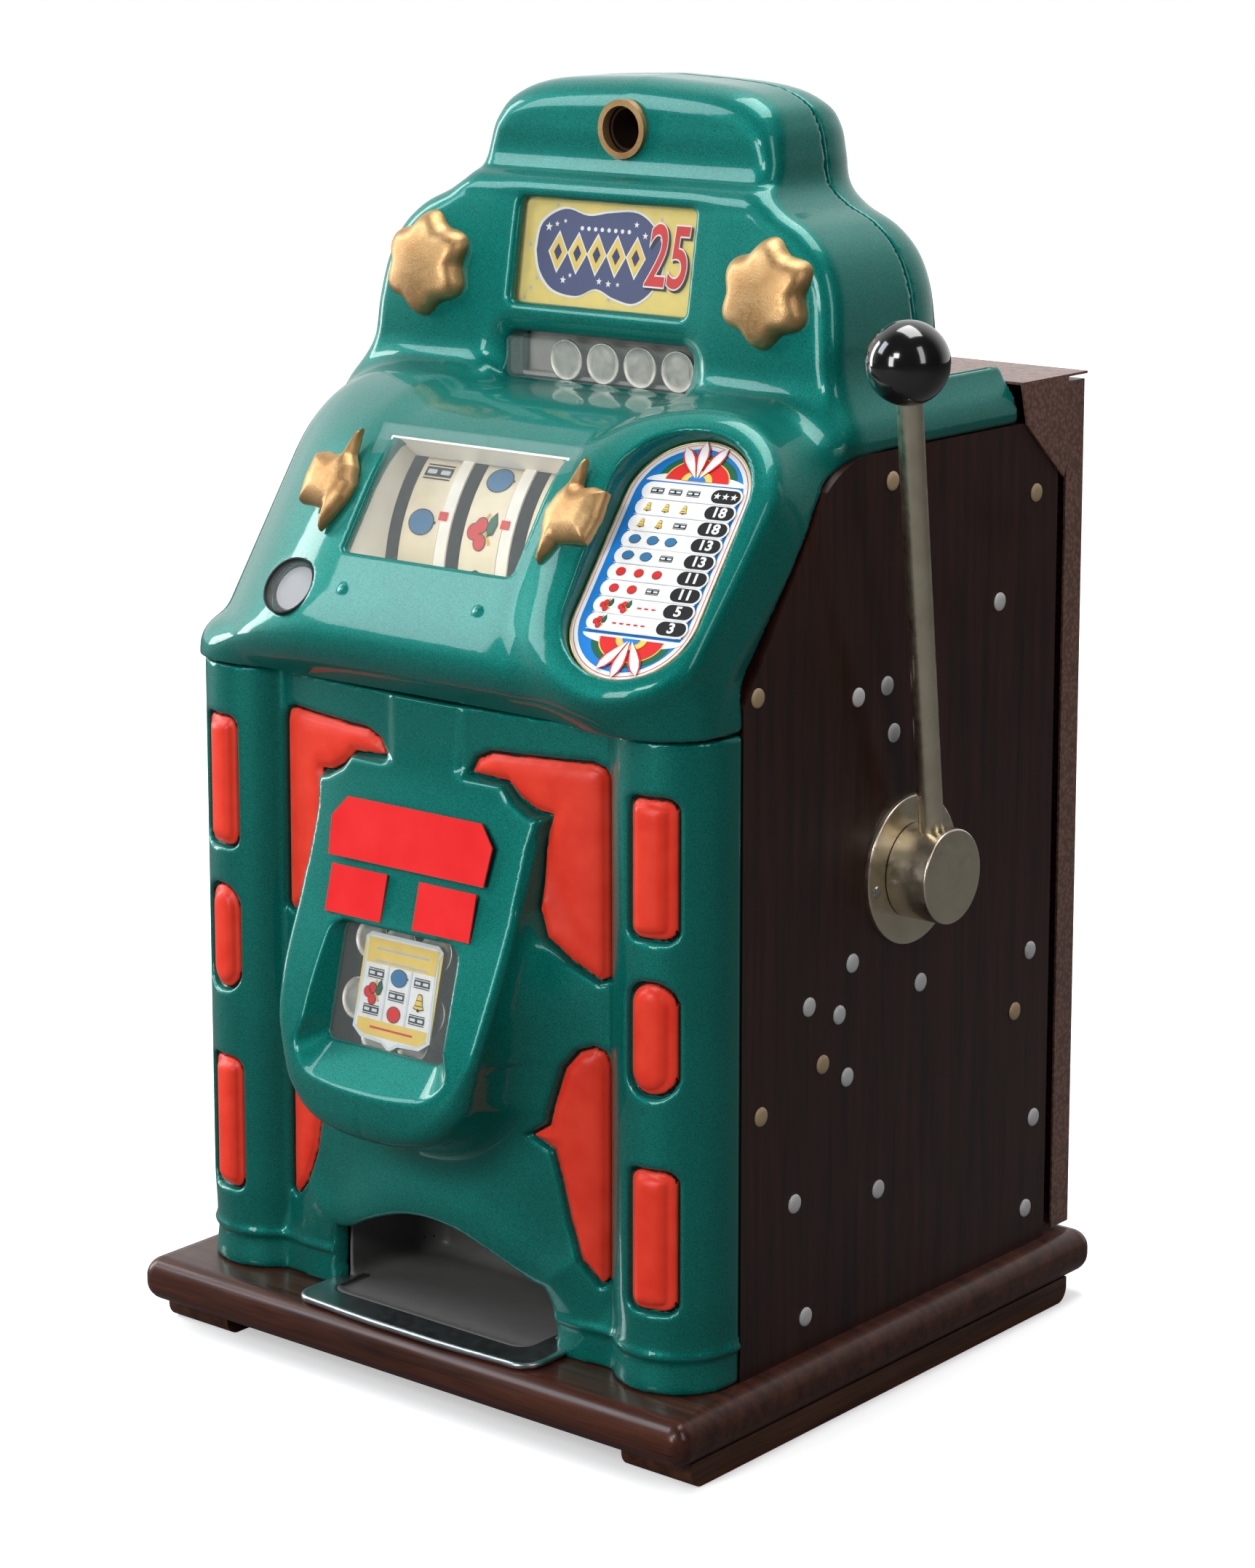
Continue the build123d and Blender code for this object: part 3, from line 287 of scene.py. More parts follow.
# The black look is black paint; in the grooves round the red pieces it is also painted shade.
for name, color, *rough in (
        ("cup_steel", (0.15, 0.147, 0.143), 0.32), ("check_coin", (0.34, 0.34, 0.36), 0.35),
        ("black_paint_and_groove_shade", (0.006, 0.009, 0.009), 0.6), ("reel_blue", (0.012, 0.016, 0.045), 0.4),
        ("nail_zinc", (0.56, 0.57, 0.56), 0.35), ("tanned_zinc", (0.42, 0.31, 0.18), 0.4),
        ("entry_throat", (0.035, 0.022, 0.015), 0.35),
        ("escalator_plate", (0.36, 0.345, 0.32), 0.3),
        ("reel_paper", (0.88, 0.77, 0.55), 0.4), ("white_mask", (0.88, 0.84, 0.74), 0.35),
        ("printed_card", (0.80, 0.62, 0.14)), ("blue_card", (0.03, 0.13, 0.48)),
        ("ink_white", (0.80, 0.80, 0.78)), ("ink_blue", (0.010, 0.20, 0.62)),
        ("ink_navy", (0.010, 0.020, 0.14)), ("ink_red", (0.66, 0.022, 0.02)),
        ("ink_green", (0.010, 0.12, 0.06)), ("ink_yellow", (0.80, 0.56, 0.10)),
        ("ink_black", (0.012, 0.012, 0.014)), ("ink_plum", (0.035, 0.17, 0.36)),
        ("ink_grey", (0.42, 0.48, 0.52)), ("ink_gold", (0.66, 0.44, 0.08)),
        ("ink_pale", (0.62, 0.70, 0.74))):
    printed(name, color, *rough)

# CAD nodes take the material that has their own name, or else their slot's.
for part in frame["record"]["subparts"]:
    materials = nodes[part["node"]].data.materials
    materials.clear()
    materials.append(LOOKS.get(part["node"]) or LOOKS[part["material_slot"]])


def dress(piece, body, slot, *stands_for, look=None):
    """Gives a piece its body and material (its look, else its slot's) and hides the CAD nodes it
    stands for.
    """
    piece.data.materials.append(LOOKS[look or slot])
    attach(piece, body)
    if stands_for:
        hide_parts(*stands_for)


# The floor glows where the camera sees it, less so under the machine, and is dark to reflections.
floor_paint = Paint("floor", (0.9, 0.9, 0.9), spec=0.0)
seen = floor_paint.add("LightPath").outputs["Is Camera Ray"]
away = floor_paint.add("VectorMath", floor_paint.place, operation="LENGTH")
glow = floor_paint.add("MapRange", Value=away.outputs["Value"], From_Min=0.5, From_Max=1.5,
                       To_Min=0.4, To_Max=1.0)
floor_paint.set(Base_Color=floor_paint.ramp(seen, (0.0, 0.14), (1.0, 0.9)),
                Roughness=0.7, Emission_Color=(1, 1, 1, 1),
                Emission_Strength=floor_paint.math("MULTIPLY", seen, glow.outputs["Result"]))
FAR = 9000
floor = link_mesh("floor", [(-FAR, -FAR, 0), (FAR, -FAR, 0), (FAR, FAR, 0), (-FAR, FAR, 0)],
                  [(0, 1, 2, 3)], False)
floor.data.materials.append(LOOKS["floor"])


# ---- fields: signed distances in millimetres, negative inside ----
def both(*fields):
    """Intersection with sharp edges."""
    found = fields[0]
    for field in fields[1:]:
        found = np.maximum(found, field)
    return found


def join(a, b, r):
    """Union of two fields with a blend about r wide."""
    h = np.maximum(r - np.abs(a - b), 0) / r
    return np.minimum(a, b) - h * h * r / 4


def meet(a, b, r):
    """Intersection of two fields with an edge rounded over r."""
    return -join(-a, -b, r)


def cut(a, b, r=0.0):
    """Field a with field b cut away."""
    return meet(a, -b, r) if r else both(a, -b)


def polygon(u, v, points):
    """Signed distance from (u, v) to a closed outline."""
    far = np.full(np.broadcast(u, v).shape, 1e12)
    inside = np.zeros(far.shape, bool)
    for (ax, ay), (bx, by) in zip(points, points[1:] + points[:1]):
        ex, ey = bx - ax, by - ay
        wu, wv = u - ax, v - ay
        t = np.clip((wu * ex + wv * ey) / (ex * ex + ey * ey), 0, 1)
        far = np.minimum(far, (wu - t * ex) ** 2 + (wv - t * ey) ** 2)
        inside ^= ((ay > v) != (by > v)) & (u < ax + wv * ex / (ey or 1))
    return np.where(inside, -1, 1) * np.sqrt(far)


def rounded(u, v, half_u, half_v, r):
    """Distance to a rounded rectangle centred on the origin."""
    du, dv = np.abs(u) - half_u + r, np.abs(v) - half_v + r
    return np.hypot(np.maximum(du, 0), np.maximum(dv, 0)) + np.minimum(np.maximum(du, dv), 0) - r


def course(t, points):
    """A smooth curve through (t, value) points, read at t."""
    ts, values = np.array(points, float).T
    slopes = np.gradient(values, ts)
    at = np.clip(t, ts[0], ts[-1])
    i = np.clip(np.searchsorted(ts, at) - 1, 0, len(ts) - 2)
    h = ts[i + 1] - ts[i]
    s = (at - ts[i]) / h
    return (values[i] * (2 * s ** 3 - 3 * s ** 2 + 1) + h * slopes[i] * (s ** 3 - 2 * s ** 2 + s)
            + values[i + 1] * (3 * s ** 2 - 2 * s ** 3) + h * slopes[i + 1] * (s ** 3 - s ** 2))


def flow(points, steps=6):
    """A smooth line through points (Catmull-Rom), as more points."""
    p = np.array([points[0]] + list(points) + [points[-1]], float)
    out = []
    for a, b, c, d in zip(p, p[1:], p[2:], p[3:]):
        for t in np.arange(steps) / steps:
            out.append(0.5 * (2 * b + (c - a) * t + (2 * a - 5 * b + 4 * c - d) * t * t
                              + (3 * b - a - 3 * c + d) * t ** 3))
    return [tuple(q) for q in out] + [tuple(points[-1])]


def ease(t, low, high):
    """Goes smoothly from 0 at low to 1 at high."""
    s = np.clip((t - low) / (high - low), 0, 1)
    return s * s * (3 - 2 * s)


def pillow(inside, width, height):
    """Height of a cushioned surface at a distance inside its outline."""
    t = np.clip(inside / width, 0, 1)
    return height * np.sqrt(1 - (1 - t) ** 2)


CORNERS = np.array([(i, j, k) for i in (0, 1) for j in (0, 1) for k in (0, 1)])
EDGES = [(a, b) for a in range(8) for b in range(a) if abs(CORNERS[a] - CORNERS[b]).sum() == 1]


def settle(field, points, step):
    """Moves points onto the zero level of field."""
    e = 0.15
    slope = np.stack([field(*(points + e * axis).T) - field(*(points - e * axis).T)
                      for axis in np.eye(3)], 1) / (2 * e)
    steep = np.maximum((slope ** 2).sum(1), 0.2)
    move = -(field(*points.T) / steep)[:, None] * slope
    length = np.sqrt((move ** 2).sum(1))[:, None]
    return points + move * np.minimum(1, 0.6 * step / np.maximum(length, 1e-9))


def surface(field, low, high, step):
    """Points and quads of a field's zero level in a box: surface nets, then relaxed."""
    axes = [np.arange(a, b + step, step) for a, b in zip(low, high)]
    grid = field(axes[0][:, None, None], axes[1][None, :, None], axes[2][None, None, :])
    grid = np.broadcast_to(grid, [len(a) for a in axes]).astype(np.float32)
    inside = grid < 0
    shape = np.array(grid.shape) - 1
    count = np.zeros(shape, np.int8)
    for i, j, k in CORNERS:
        count += inside[i:i + shape[0], j:j + shape[1], k:k + shape[2]]
    cells = np.argwhere((count > 0) & (count < 8))
    index = np.full(shape, -1, np.int64)
    index[tuple(cells.T)] = np.arange(len(cells))
    values = np.stack([grid[tuple((cells + c).T)] for c in CORNERS], 1)
    total = np.zeros((len(cells), 3))
    hits = np.zeros(len(cells))
    for a, b in EDGES:
        va, vb = values[:, a], values[:, b]
        crossed = (va < 0) != (vb < 0)
        t = np.where(crossed, va / np.where(crossed, va - vb, 1), 0)[:, None]
        total += crossed[:, None] * (CORNERS[a] + t * (CORNERS[b] - CORNERS[a]))
        hits += crossed
    points = np.array(low) + step * (cells + total / hits[:, None])
    quads = []
    for axis in range(3):
        u, v = (axis + 1) % 3, (axis + 2) % 3
        one = np.take(inside, range(grid.shape[axis] - 1), axis)
        two = np.take(inside, range(1, grid.shape[axis]), axis)
        for flipped, mask in ((False, one & ~two), (True, two & ~one)):
            at = np.argwhere(mask)
            at = at[(at[:, u] > 0) & (at[:, v] > 0) & (at[:, u] < shape[u]) & (at[:, v] < shape[v])]
            ring = []
            for du, dv in ((0, 0), (1, 0), (1, 1), (0, 1)):
                if flipped:
                    du, dv = dv, du
                cell = at.copy()
                cell[:, u] -= 1 - du
                cell[:, v] -= 1 - dv
                ring.append(index[tuple(cell.T)])
            quads.append(np.stack(ring, 1))
    quads = np.concatenate(quads)
    points = settle(field, settle(field, points, step), step)
    for _ in range(2):
        mean = np.zeros_like(points)
        weight = np.zeros(len(points))
        for a in range(4):
            for here, there in ((a, (a + 1) % 4), ((a + 1) % 4, a)):
                weight += np.bincount(quads[:, here], minlength=len(points))
                for c in range(3):
                    far = points[quads[:, there], c]
                    mean[:, c] += np.bincount(quads[:, here], far, len(points))
        points = settle(field, 0.5 * points + 0.5 * mean / weight[:, None], step)
    return points, quads


def sculpt(name, field, low, high, step, slot, *stands_for, look=None):
    """A smooth piece of the cabinet, from a field inside a box."""
    points, quads = surface(field, low, high, step)
    mesh = bpy.data.meshes.new(name)
    mesh.vertices.add(len(points))
    mesh.vertices.foreach_set("co", (points * MM).astype(np.float32).ravel())
    mesh.loops.add(quads.size)
    mesh.loops.foreach_set("vertex_index", quads.astype(np.int32).ravel())
    mesh.polygons.add(len(quads))
    mesh.polygons.foreach_set("loop_start", np.arange(0, quads.size, 4, dtype=np.int32))
    mesh.polygons.foreach_set("use_smooth", np.ones(len(quads), bool))
    mesh.update(calc_edges=True)
    mesh.validate()
    dress(link(name, mesh), "cabinet", slot, *stands_for, look=look)


# ---- lower casting ----
SEAM = 404.7  # top of the lower casting
FLOOR = 41.9  # its underside, on the base
FOOT_TOP = 63.0
PILLAR_X, PILLAR_Y, PILLAR_R = 154.0, -149.0, 36.0
WING = [(30, 366), (36, 377), (46, 381.5), (112, 383.5), (118, 381), (120.5, 376), (121, 264),
        (115, 261.5), (98, 271), (85, 283), (79.5, 302), (80, 333), (85.5, 351), (76, 352),
        (65, 358), (57, 366)]
LEAF = [(112, 224.5), (118, 222), (120.5, 215), (120.5, 92), (116, 88.5), (104, 101), (96, 122),
        (91, 144), (86, 161), (72.5, 168.5), (84, 176), (89, 192), (95, 211), (103, 221)]
PADS = ((335.0, 78.0, 7.0), (241.0, 63.0, 13.0), (128.0, 80.0, 7.0))  # middle, height, corners
PAD_X, PAD_WIDE = 161.0, 28.0
PAD_BED, INSET_BED = 5.0, 4.2  # depth of the red pieces' recesses
GLASS_HALF, GLASS_LOW, GLASS_HIGH = 43.0, 211.5, 275.8
SHIELD_HALF = [(150, 70), (195, 68.5), (215, 73.5), (245, 77.5), (285, 79.3), (345, 82.8),
               (352, 83)]
SHIELD_MIDDLE = [(150, -238), (180, -240), (190, -239.5), (205, -236), (225, -229.5), (245, -222),
                 (265, -214), (285, -206), (300, -201.5), (345, -190), (364, -185.3), (406, -182)]
SHIELD_EDGE = [(150, -231), (195, -231.7), (215, -228.5), (245, -220), (265, -212), (285, -203.5),
               (305, -195.8), (345, -183.5), (406, -178)]
SHIELD_TOP = [(-10, 420), (25, 420), (25, 368), (57, 365.5), (63, 358), (75, 352), (83, 350.5),
              (90, 300), (90, 100), (-10, 100)]
CHIN_Z = 214  # the shield's outline is round below this


def arch(x, z):
    """Front view of the opening over the payout cup."""
    half = 73 + 4 * ease(-z, -80, -40)
    low = both(np.abs(x) - half, z - 74)
    high = both(np.hypot(x / 1.25, z - 44) - 60, 60 - z)
    return join(low, high, 6)


def panel_face(x, z):
    """Y of the middle panel, without the shield."""
    ax = np.abs(x)
    ridge = 7 * np.exp(-(np.maximum(arch(x, z) - 4, 0) / 22) ** 2) * ease(z, 58, 96)
    sweep = 10.5 * np.clip(ax / 114, 0, 1.2) ** 2.5
    return -181.5 + sweep - ridge + 9 * ease(-z, -150, -60) * ease(-ax, -110, -60)


def shield(x, y, z):
    """The bulging shield with its chin, in front of the panel."""
    ax = np.abs(x)
    half = course(z, SHIELD_HALF)
    middle = course(z, SHIELD_MIDDLE)
    edge = course(z, SHIELD_EDGE)
    face = middle + (edge - middle) * np.clip(ax / half, 0, 1.3) ** 2.2
    sides = meet(polygon(ax, z, SHIELD_TOP), (ax - half) * 0.98, 1)
    bowl = np.hypot(ax, (z - CHIN_Z) * 1.24) - 73.5
    outline = np.where(z < CHIN_Z, meet(sides, bowl, 3), sides)
    under = (150.5 - z) * 0.85 + (y + 190) * -0.16
    return meet(meet((face - y) * 0.93, outline, 5 + 10 * ease(-z, -230, -170)), under, 16)


def lower_front(x, y, z):
    """Outer surface of the lower casting, uncut."""
    ax = np.abs(x)
    radius = PILLAR_R - 1.0 * ease(-z, -95, -68) + 1.6 * ease(-z, -60, -42)
    pillar = np.hypot(ax - PILLAR_X, y - PILLAR_Y) - radius
    pillar = np.minimum(pillar, both(ax - 190, PILLAR_Y - y, 130 - ax))
    panel = meet(panel_face(x, z) - y, ax - 124, 7)
    back = both(-160 - 9 * ease(-z, -90, -60) - y, ax - 160)
    body = join(join(panel, pillar, 5), back, 7)
    bead = np.hypot(body + 0.6, z - FOOT_TOP) - 1.8
    body = join(body + 0.8 * ease(-z, -FOOT_TOP, -58), bead, 2.5)
    blend = 5 + 40 * ease(-z, -335, -235) - 8 * ease(-z, -200, -160)
    return join(body, shield(x, y, z), blend)


def pad_outline(x, z, trim):
    """Front view of the pillar pads."""
    ax = np.abs(x) - PAD_X
    found = [rounded(ax, z - mid, PAD_WIDE / 2 - trim, high / 2 - trim, r) for mid, high, r in PADS]
    return np.minimum(np.minimum(found[0], found[1]), found[2])


def inset_outline(x, z):
    """Front view of the wings and leaves."""
    ax = np.abs(x)
    return np.minimum(polygon(ax, z, WING), polygon(ax, z, LEAF))


def glass_depth(y, z):
    """Distance in front of the jackpot glass."""
    return (y + 209.5) * -0.97 + (z - 244) * 0.242


def window_cut(x, y, z):
    """The jackpot window and the scoop around it."""
    half_z = (GLASS_HIGH - GLASS_LOW) / 2
    opening = rounded(x, z - (GLASS_LOW + GLASS_HIGH) / 2, GLASS_HALF, half_z, 5)
    flare = (0.72 + 0.5 * ease(-z, -225, -205)) * ease(-z, -285, -268)
    return both(opening - np.clip(glass_depth(y, z), 0, 40) * flare, y + 180)


def lower_field(x, y, z):
    """The lower casting as a shell."""
    skin = lower_front(x, y, z)
    bezel = both(rounded(x, z - 241, 66, 52, 20), -glass_depth(y, z) - 3)
    wall = both(skin, np.minimum(-(skin + 9.5), bezel))
    pads = both(pad_outline(x, z, -0.7), -(skin + PAD_BED))
    insets = both(inset_outline(x, z) - 0.7, -(skin + INSET_BED), -shield(x, y, z) - 0.5)
    solid = cut(cut(cut(wall, pads, 3.2), insets, 3.0), window_cut(x, y, z), 1.5)
    flare = np.clip(-150 - y, 0, 24) * 0.35 * ease(-z, -100, -70)
    solid = cut(solid, both(arch(x, z) - flare, y + 120), 3)
    return both(solid, z - SEAM, FLOOR - z, y + 140.2)


def pads_field(x, y, z):
    """Red pads in the pillars."""
    outline = pad_outline(x, z, 0.7)
    lift = lower_front(x, y, z) + PAD_BED - 0.1
    crown = 2.6 + pillow(-outline - 3.0 - 1.5 * ease(np.abs(x), 160, 172), 6, 3.0)
    return both(meet(outline, lift - crown, 2.4), -lift)


def insets_field(x, y, z):
    """Red wings and leaves beside the shield."""
    outline = inset_outline(x, z) + 0.6
    lift = lower_front(x, y, z) + INSET_BED - 0.1
    crown = 2.4 + pillow(-outline - 2.5, 9, 2.6)
    return cut(both(meet(outline, lift - crown, 2.4), -lift), shield(x, y, z) - 1.0)


def groove_shade_field(x, y, z):
    """Black in the grooves round the red pieces: their outline, and painted shade in the gaps."""
    outline = np.minimum(pad_outline(x, z, -0.9), inset_outline(x, z) - 0.9)
    lift = lower_front(x, y, z) + np.where(pad_outline(x, z, -3) < 0, 4.4, 3.6)
    return cut(both(outline, lift, -(lift + 2.5)), shield(x, y, z) + 0.5)


def cup_field(x, y, z):
    """Payout cup: a sheet-steel tray that runs out over the base."""
    hollow = meet(rounded(x, y + 139, 79, 47, 16), FLOOR + 1.9 - z, 9)
    tray = both(rounded(x, y + 139, 81, 49, 18), FLOOR - z, z - 118)
    return cut(both(tray, np.minimum(z - 46, -163 - y)), hollow)


def lip_field(x, y, z):
    """Bright steel lip round the mouth of the tray."""
    half_y = 29.5 + 3 * ease(-np.abs(x), -90, -20)
    lip = meet(rounded(x - 3, y + 176, 90, half_y, 13), np.abs(z - 44) - 2.1, 2.5)
    return both(cut(lip, rounded(x, y + 136, 73, 50, 9), 1.5), y + 155)


sculpt("lower_casting_skin", lower_field, (-194, -244, 38), (194, -136, 409), STEP,
       "green_enamel", "lower_casting")
sculpt("red_pillar_pads", pads_field, (-180, -190, 84), (180, -164, 378), RED_STEP,
       "red_enamel", "pillar_pads")
sculpt("red_wings_and_leaves", insets_field, (-124, -216, 84), (124, -160, 388), RED_STEP,
       "red_enamel", "wing_inserts", "leaf_inserts")
# Black sheet in the grooves round the red pieces: black outline and painted shade of the gaps.
sculpt("black_paint_and_groove_shade", groove_shade_field, (-180, -216, 84), (180, -158, 388), STEP,
       "red_enamel", look="black_paint_and_groove_shade")
sculpt("payout_cup_visual", cup_field, (-92, -212, 38), (98, -84, 122), RED_STEP,
       "galvanised_steel", "payout_cup", look="cup_steel")
sculpt("payout_lip", lip_field, (-92, -212, 38), (98, -150, 50), 1.2,
       "galvanised_steel", look="lip_steel")

# ---- upper casting ----
SIDE = 190.0  # the casting's half width
RIGHT = np.array((1.0, 0, 0))
PANEL = np.array((0, -140.0, 543.1))  # a point on the slanted front, and its directions
SLOPE = radians(56.2)
UP_SLOPE = np.array((0, cos(SLOPE), sin(SLOPE)))
OUT_SLOPE = np.array((0, -sin(SLOPE), cos(SLOPE)))
LENS_X, LENS_DOWN = -91.7, -99.3  # coin-check lens, across and up the slope
TURN, TILT = radians(8.0), radians(47.4)
CARD_AT = np.array((138.8, -147.1, 495.5))
CARD_U = np.array((cos(TURN), sin(TURN), 0))
CARD_V = np.array((-sin(TURN) * cos(TILT), cos(TURN) * cos(TILT), sin(TILT)))
CARD_N = np.cross(CARD_U, CARD_V)
CARD_WIDE, CARD_LONG = 78.0, 155.0
HEAD_SEAM = 40.0  # Y where the head's front meets its rear shell
RING_Z = 709.5  # height of the coin entry
SIGN_Z = 638  # and of the sign window
ORNAMENT_LEAN = 0.16  # Y per Z of the head's face near the sign
HEAD = flow([(188, 548), (178, 566), (172, 585), (170, 605), (166, 628), (157, 647), (142, 661),
             (122, 671), (110, 682), (107, 698), (103, 714), (92, 727), (64, 735.5), (0, 739)])
HEAD += [(-20, 739), (-20, 548)]
HEAD_FACE = [(548, -41), (600, -38), (627, -33.6), (655, -29), (668, -26.5), (675, -24.5),
             (680, -20), (683, -14.5), (687, -12.0), (709, -9.3), (739, -6)]
BOARD_EDGE = flow([(-140, 419), (-139, 428), (-127, 445), (-106, 474), (-88, 499), (-67, 526),
                   (-56, 533.5), (-45, 537.5), (-23, 541.3), (0, 542)], 4)


def along(x, y, z, origin, axis):
    """Distance from origin along axis."""
    return (x - origin[0]) * axis[0] + (y - origin[1]) * axis[1] + (z - origin[2]) * axis[2]


def card_outline(x, y, z):
    """Stadium outline of the pay card."""
    u = along(x, y, z, CARD_AT, CARD_U)
    v = along(x, y, z, CARD_AT, CARD_V)
    return np.hypot(u, np.maximum(np.abs(v) - (CARD_LONG - CARD_WIDE) / 2, 0)) - CARD_WIDE / 2


def upper_body(x, y, z):
    """The slanted front with its belly, corners and shelf."""
    ax = np.abs(x)
    slant = along(x, y, z, PANEL, OUT_SLOPE)
    facet = 0.527 * (ax - 104) - 0.70 * (y + 169) + 0.482 * (z - 502)
    under = -0.60 * (y + 213) - 0.80 * (z - 429)
    front = meet(meet(meet(slant, facet, 26), -(y + 214.5), 20), under, 16)
    front = meet(front, ax - SIDE, 30)
    dip = 5 * ease(-y, 60, 125) + 4 * ease(ax, 140, 190)
    shelf = z - (566.5 - dip - 4.5 * ease(-ax, -95, -62) * ease(-y, 10, 40))
    body = meet(meet(front, shelf, 42), ax - SIDE, 14)
    cap = np.hypot(ax - PILLAR_X, y - PILLAR_Y) - PILLAR_R - 1
    cap = meet(np.minimum(cap, both(ax - SIDE - 0.5, PILLAR_Y - y)), z - 424, 14)
    return join(body, both(cap, 120 - ax), 14)


def head_front(x, y, z):
    """The head's front, with its shoulders and crown."""
    ax = np.abs(x)
    bulge = 3.5 * np.exp(-((ax - 127) / 36) ** 2 - ((z - 620) / 48) ** 2)
    face = course(z, HEAD_FACE) - bulge + 1.5 * ease(-ax, -90, -60) * ease(-z, -680, -665)
    head = meet((face - y) * 0.95, polygon(ax, z, HEAD), 13 + 8 * ease(z, 690, 730))
    niche = rounded(x, z - 572, 69, 19, 8) - 9.0 * ease(-y, 30, 42)
    return cut(head, both(niche, y + 20), 9)


def upper_skin(x, y, z):
    """Outer surface of the upper casting, uncut."""
    skin = join(upper_body(x, y, z), both(head_front(x, y, z), 545 - z), 20)
    lift = along(x, y, z, CARD_AT, CARD_N)
    boss = both(meet(card_outline(x, y, z) - 12, lift - 1.2, 12), -lift - 30)
    return meet(join(skin, boss, 26), x - SIDE, 5)


def board_line(y, z):
    """The side boards' outline, under the casting."""
    return polygon(y, z, [(-140, 380)] + BOARD_EDGE + [(200, 542), (200, 380)])


def upper_field(x, y, z):
    """The upper casting as a shell with its openings."""
    skin = upper_skin(x, y, z)
    card = card_outline(x, y, z)
    lift = along(x, y, z, CARD_AT, CARD_N)
    wall = np.minimum(both(skin, -(skin + 7.0)), both(card - 6.0, -lift - 9.5, skin))
    solid = cut(wall, both(card, -lift - 3.2), 2.5)
    s = along(x, y, z, PANEL, UP_SLOPE)
    w = along(x, y, z, PANEL, OUT_SLOPE)
    window = rounded(x, s + 37, 62.5, 37.0, 4) - np.clip(w + 2.0, 0, 5) * 0.2
    solid = cut(solid, both(window, -w - 25), 1.5)
    lens = np.hypot(x - LENS_X, s - LENS_DOWN) - 15.5
    solid = cut(solid, both(lens, -w - 25), 2.5)
    nub = np.sqrt((np.abs(x) - 50) ** 2 + (s + 97) ** 2 + (w * 1.3) ** 2) - 2.2
    solid = join(solid, nub, 1.5)
    reveal = np.clip(-y - 27 + (z - SIGN_Z) * ORNAMENT_LEAN, 0, 9) * 0.35
    sign = rounded(x, z - SIGN_Z, 65.0, 30.0, 4) - reveal
    solid = cut(solid, both(sign, y - 15), 3)
    solid = cut(solid, both(rounded(x, z - 577, 68.5, 13, 5), y - 5), 1)
    solid = cut(solid, both(np.hypot(x, z - RING_Z) - 15.5, y - 35), 1.5)
    solid = both(solid, 406.6 - z, y - 117, np.where(z > 574, y - HEAD_SEAM + 0.4, -50))
    roof = both(np.abs(z - 562) - 3.0, np.abs(y - 92) - 25, np.abs(x) - 170)
    solid = np.minimum(solid, roof)
    return both(solid, -board_line(y, z) + 0.2 - 400 * (np.abs(x) < 173.5))


def rear_shell_field(x, y, z):
    """The rear half of the head."""
    body = meet(polygon(np.abs(x), z, HEAD), y - 80, 34)
    return both(body, -(body + 6), HEAD_SEAM + 0.7 - y, 566.8 - z)


sculpt("upper_casting_skin", upper_field, (-194, -220, 402), (194, 120, 742), STEP,
       "green_enamel", "upper_casting")
sculpt("crown_rear_skin", rear_shell_field, (-192, 36, 562), (192, 84, 742), STEP,
       "green_enamel", "crown_rear_shell")

# ---- gold ornaments ----
STAR_X, STAR_Z, STAR_R = 125.7, 626.6, 28.2
ARROW = [(83.2, 1.5), (81, -10), (79.5, -17), (74.5, -24), (70.8, -35), (72.5, -44), (76.8, -53),
         (83.5, -66), (86, -58), (86.5, -51.8), (95, -50.5), (106, -50), (108.5, -35), (107.5, -19),
         (98, -17), (91, -18.5), (87.5, -17), (86, -9)]


def star_field(x, y, z):
    """Six-lobed puffy stars on the shoulders."""
    u, v = np.abs(x) - STAR_X, z - STAR_Z
    reach = np.hypot(u, v)
    outline = (reach - STAR_R - 2.9 * np.cos(6 * np.arctan2(v, u) - pi)) * 0.92
    face = -37.0 + (z - 627) * ORNAMENT_LEAN
    dome = 13.5 * np.sqrt(np.maximum(1 - (reach / 36) ** 2, 0.05))
    return both(meet(outline, (face - dome - y) * 0.9, 9), y - face - 7)


def arrow_field(x, y, z):
    """Gold arrows either side of the reel window."""
    s = along(x, y, z, PANEL, UP_SLOPE)
    w = along(x, y, z, PANEL, OUT_SLOPE)
    outline = polygon(np.abs(x) + 5.0 * ease(-s, 46, 66) * (x > 0), s, ARROW)
    return both(meet(outline, w - pillow(-outline, 12, 8.5) - 1.2, 0.8), -w - 1)


sculpt("gold_stars", star_field, (-160, -58, 590), (160, -22, 664), 1.3,
       "gold_enamel", "star_medallions")
sculpt("gold_arrows", arrow_field, (-114, -190, 482), (114, -130, 560), 1.0,
       "gold_enamel", "arrow_medallions")

# ---- printed shapes ----
LAYER = 0.09  # thickness given to one layer of ink


def disc(u, v, ru, rv=None, turns=20, start=0.0, end=2 * pi):
    """Outline of an ellipse, or of a half of one."""
    count = turns if end - start > 6.2 else turns + 1
    around = [start + (end - start) * k / turns for k in range(count)]
    return [(u + ru * cos(turn), v + (rv or ru) * sin(turn)) for turn in around]


def bar(u, v, half_u, half_v, r=0.0):
    """Outline of a rectangle, with rounded corners if r is given."""
    return [(u + su * (half_u - r) + r * cos(pi / 2 * (k + step / 4)),
             v + sv * (half_v - r) + r * sin(pi / 2 * (k + step / 4)))
            for k, (su, sv) in enumerate(((1, 1), (-1, 1), (-1, -1), (1, -1)))
            for step in range(5 if r else 1)]


def star(u, v, r, turn=pi / 2):
    """Outline of a five-pointed star."""
    return [(u + reach * cos(turn + pi * k / 5), v + reach * sin(turn + pi * k / 5))
            for k, reach in enumerate((r, 0.42 * r) * 5)]


def scaled(points, u, v, su, sv=None):
    """An outline scaled, then moved to (u, v)."""
    return [(u + su * a, v + (su if sv is None else sv) * b) for a, b in points]


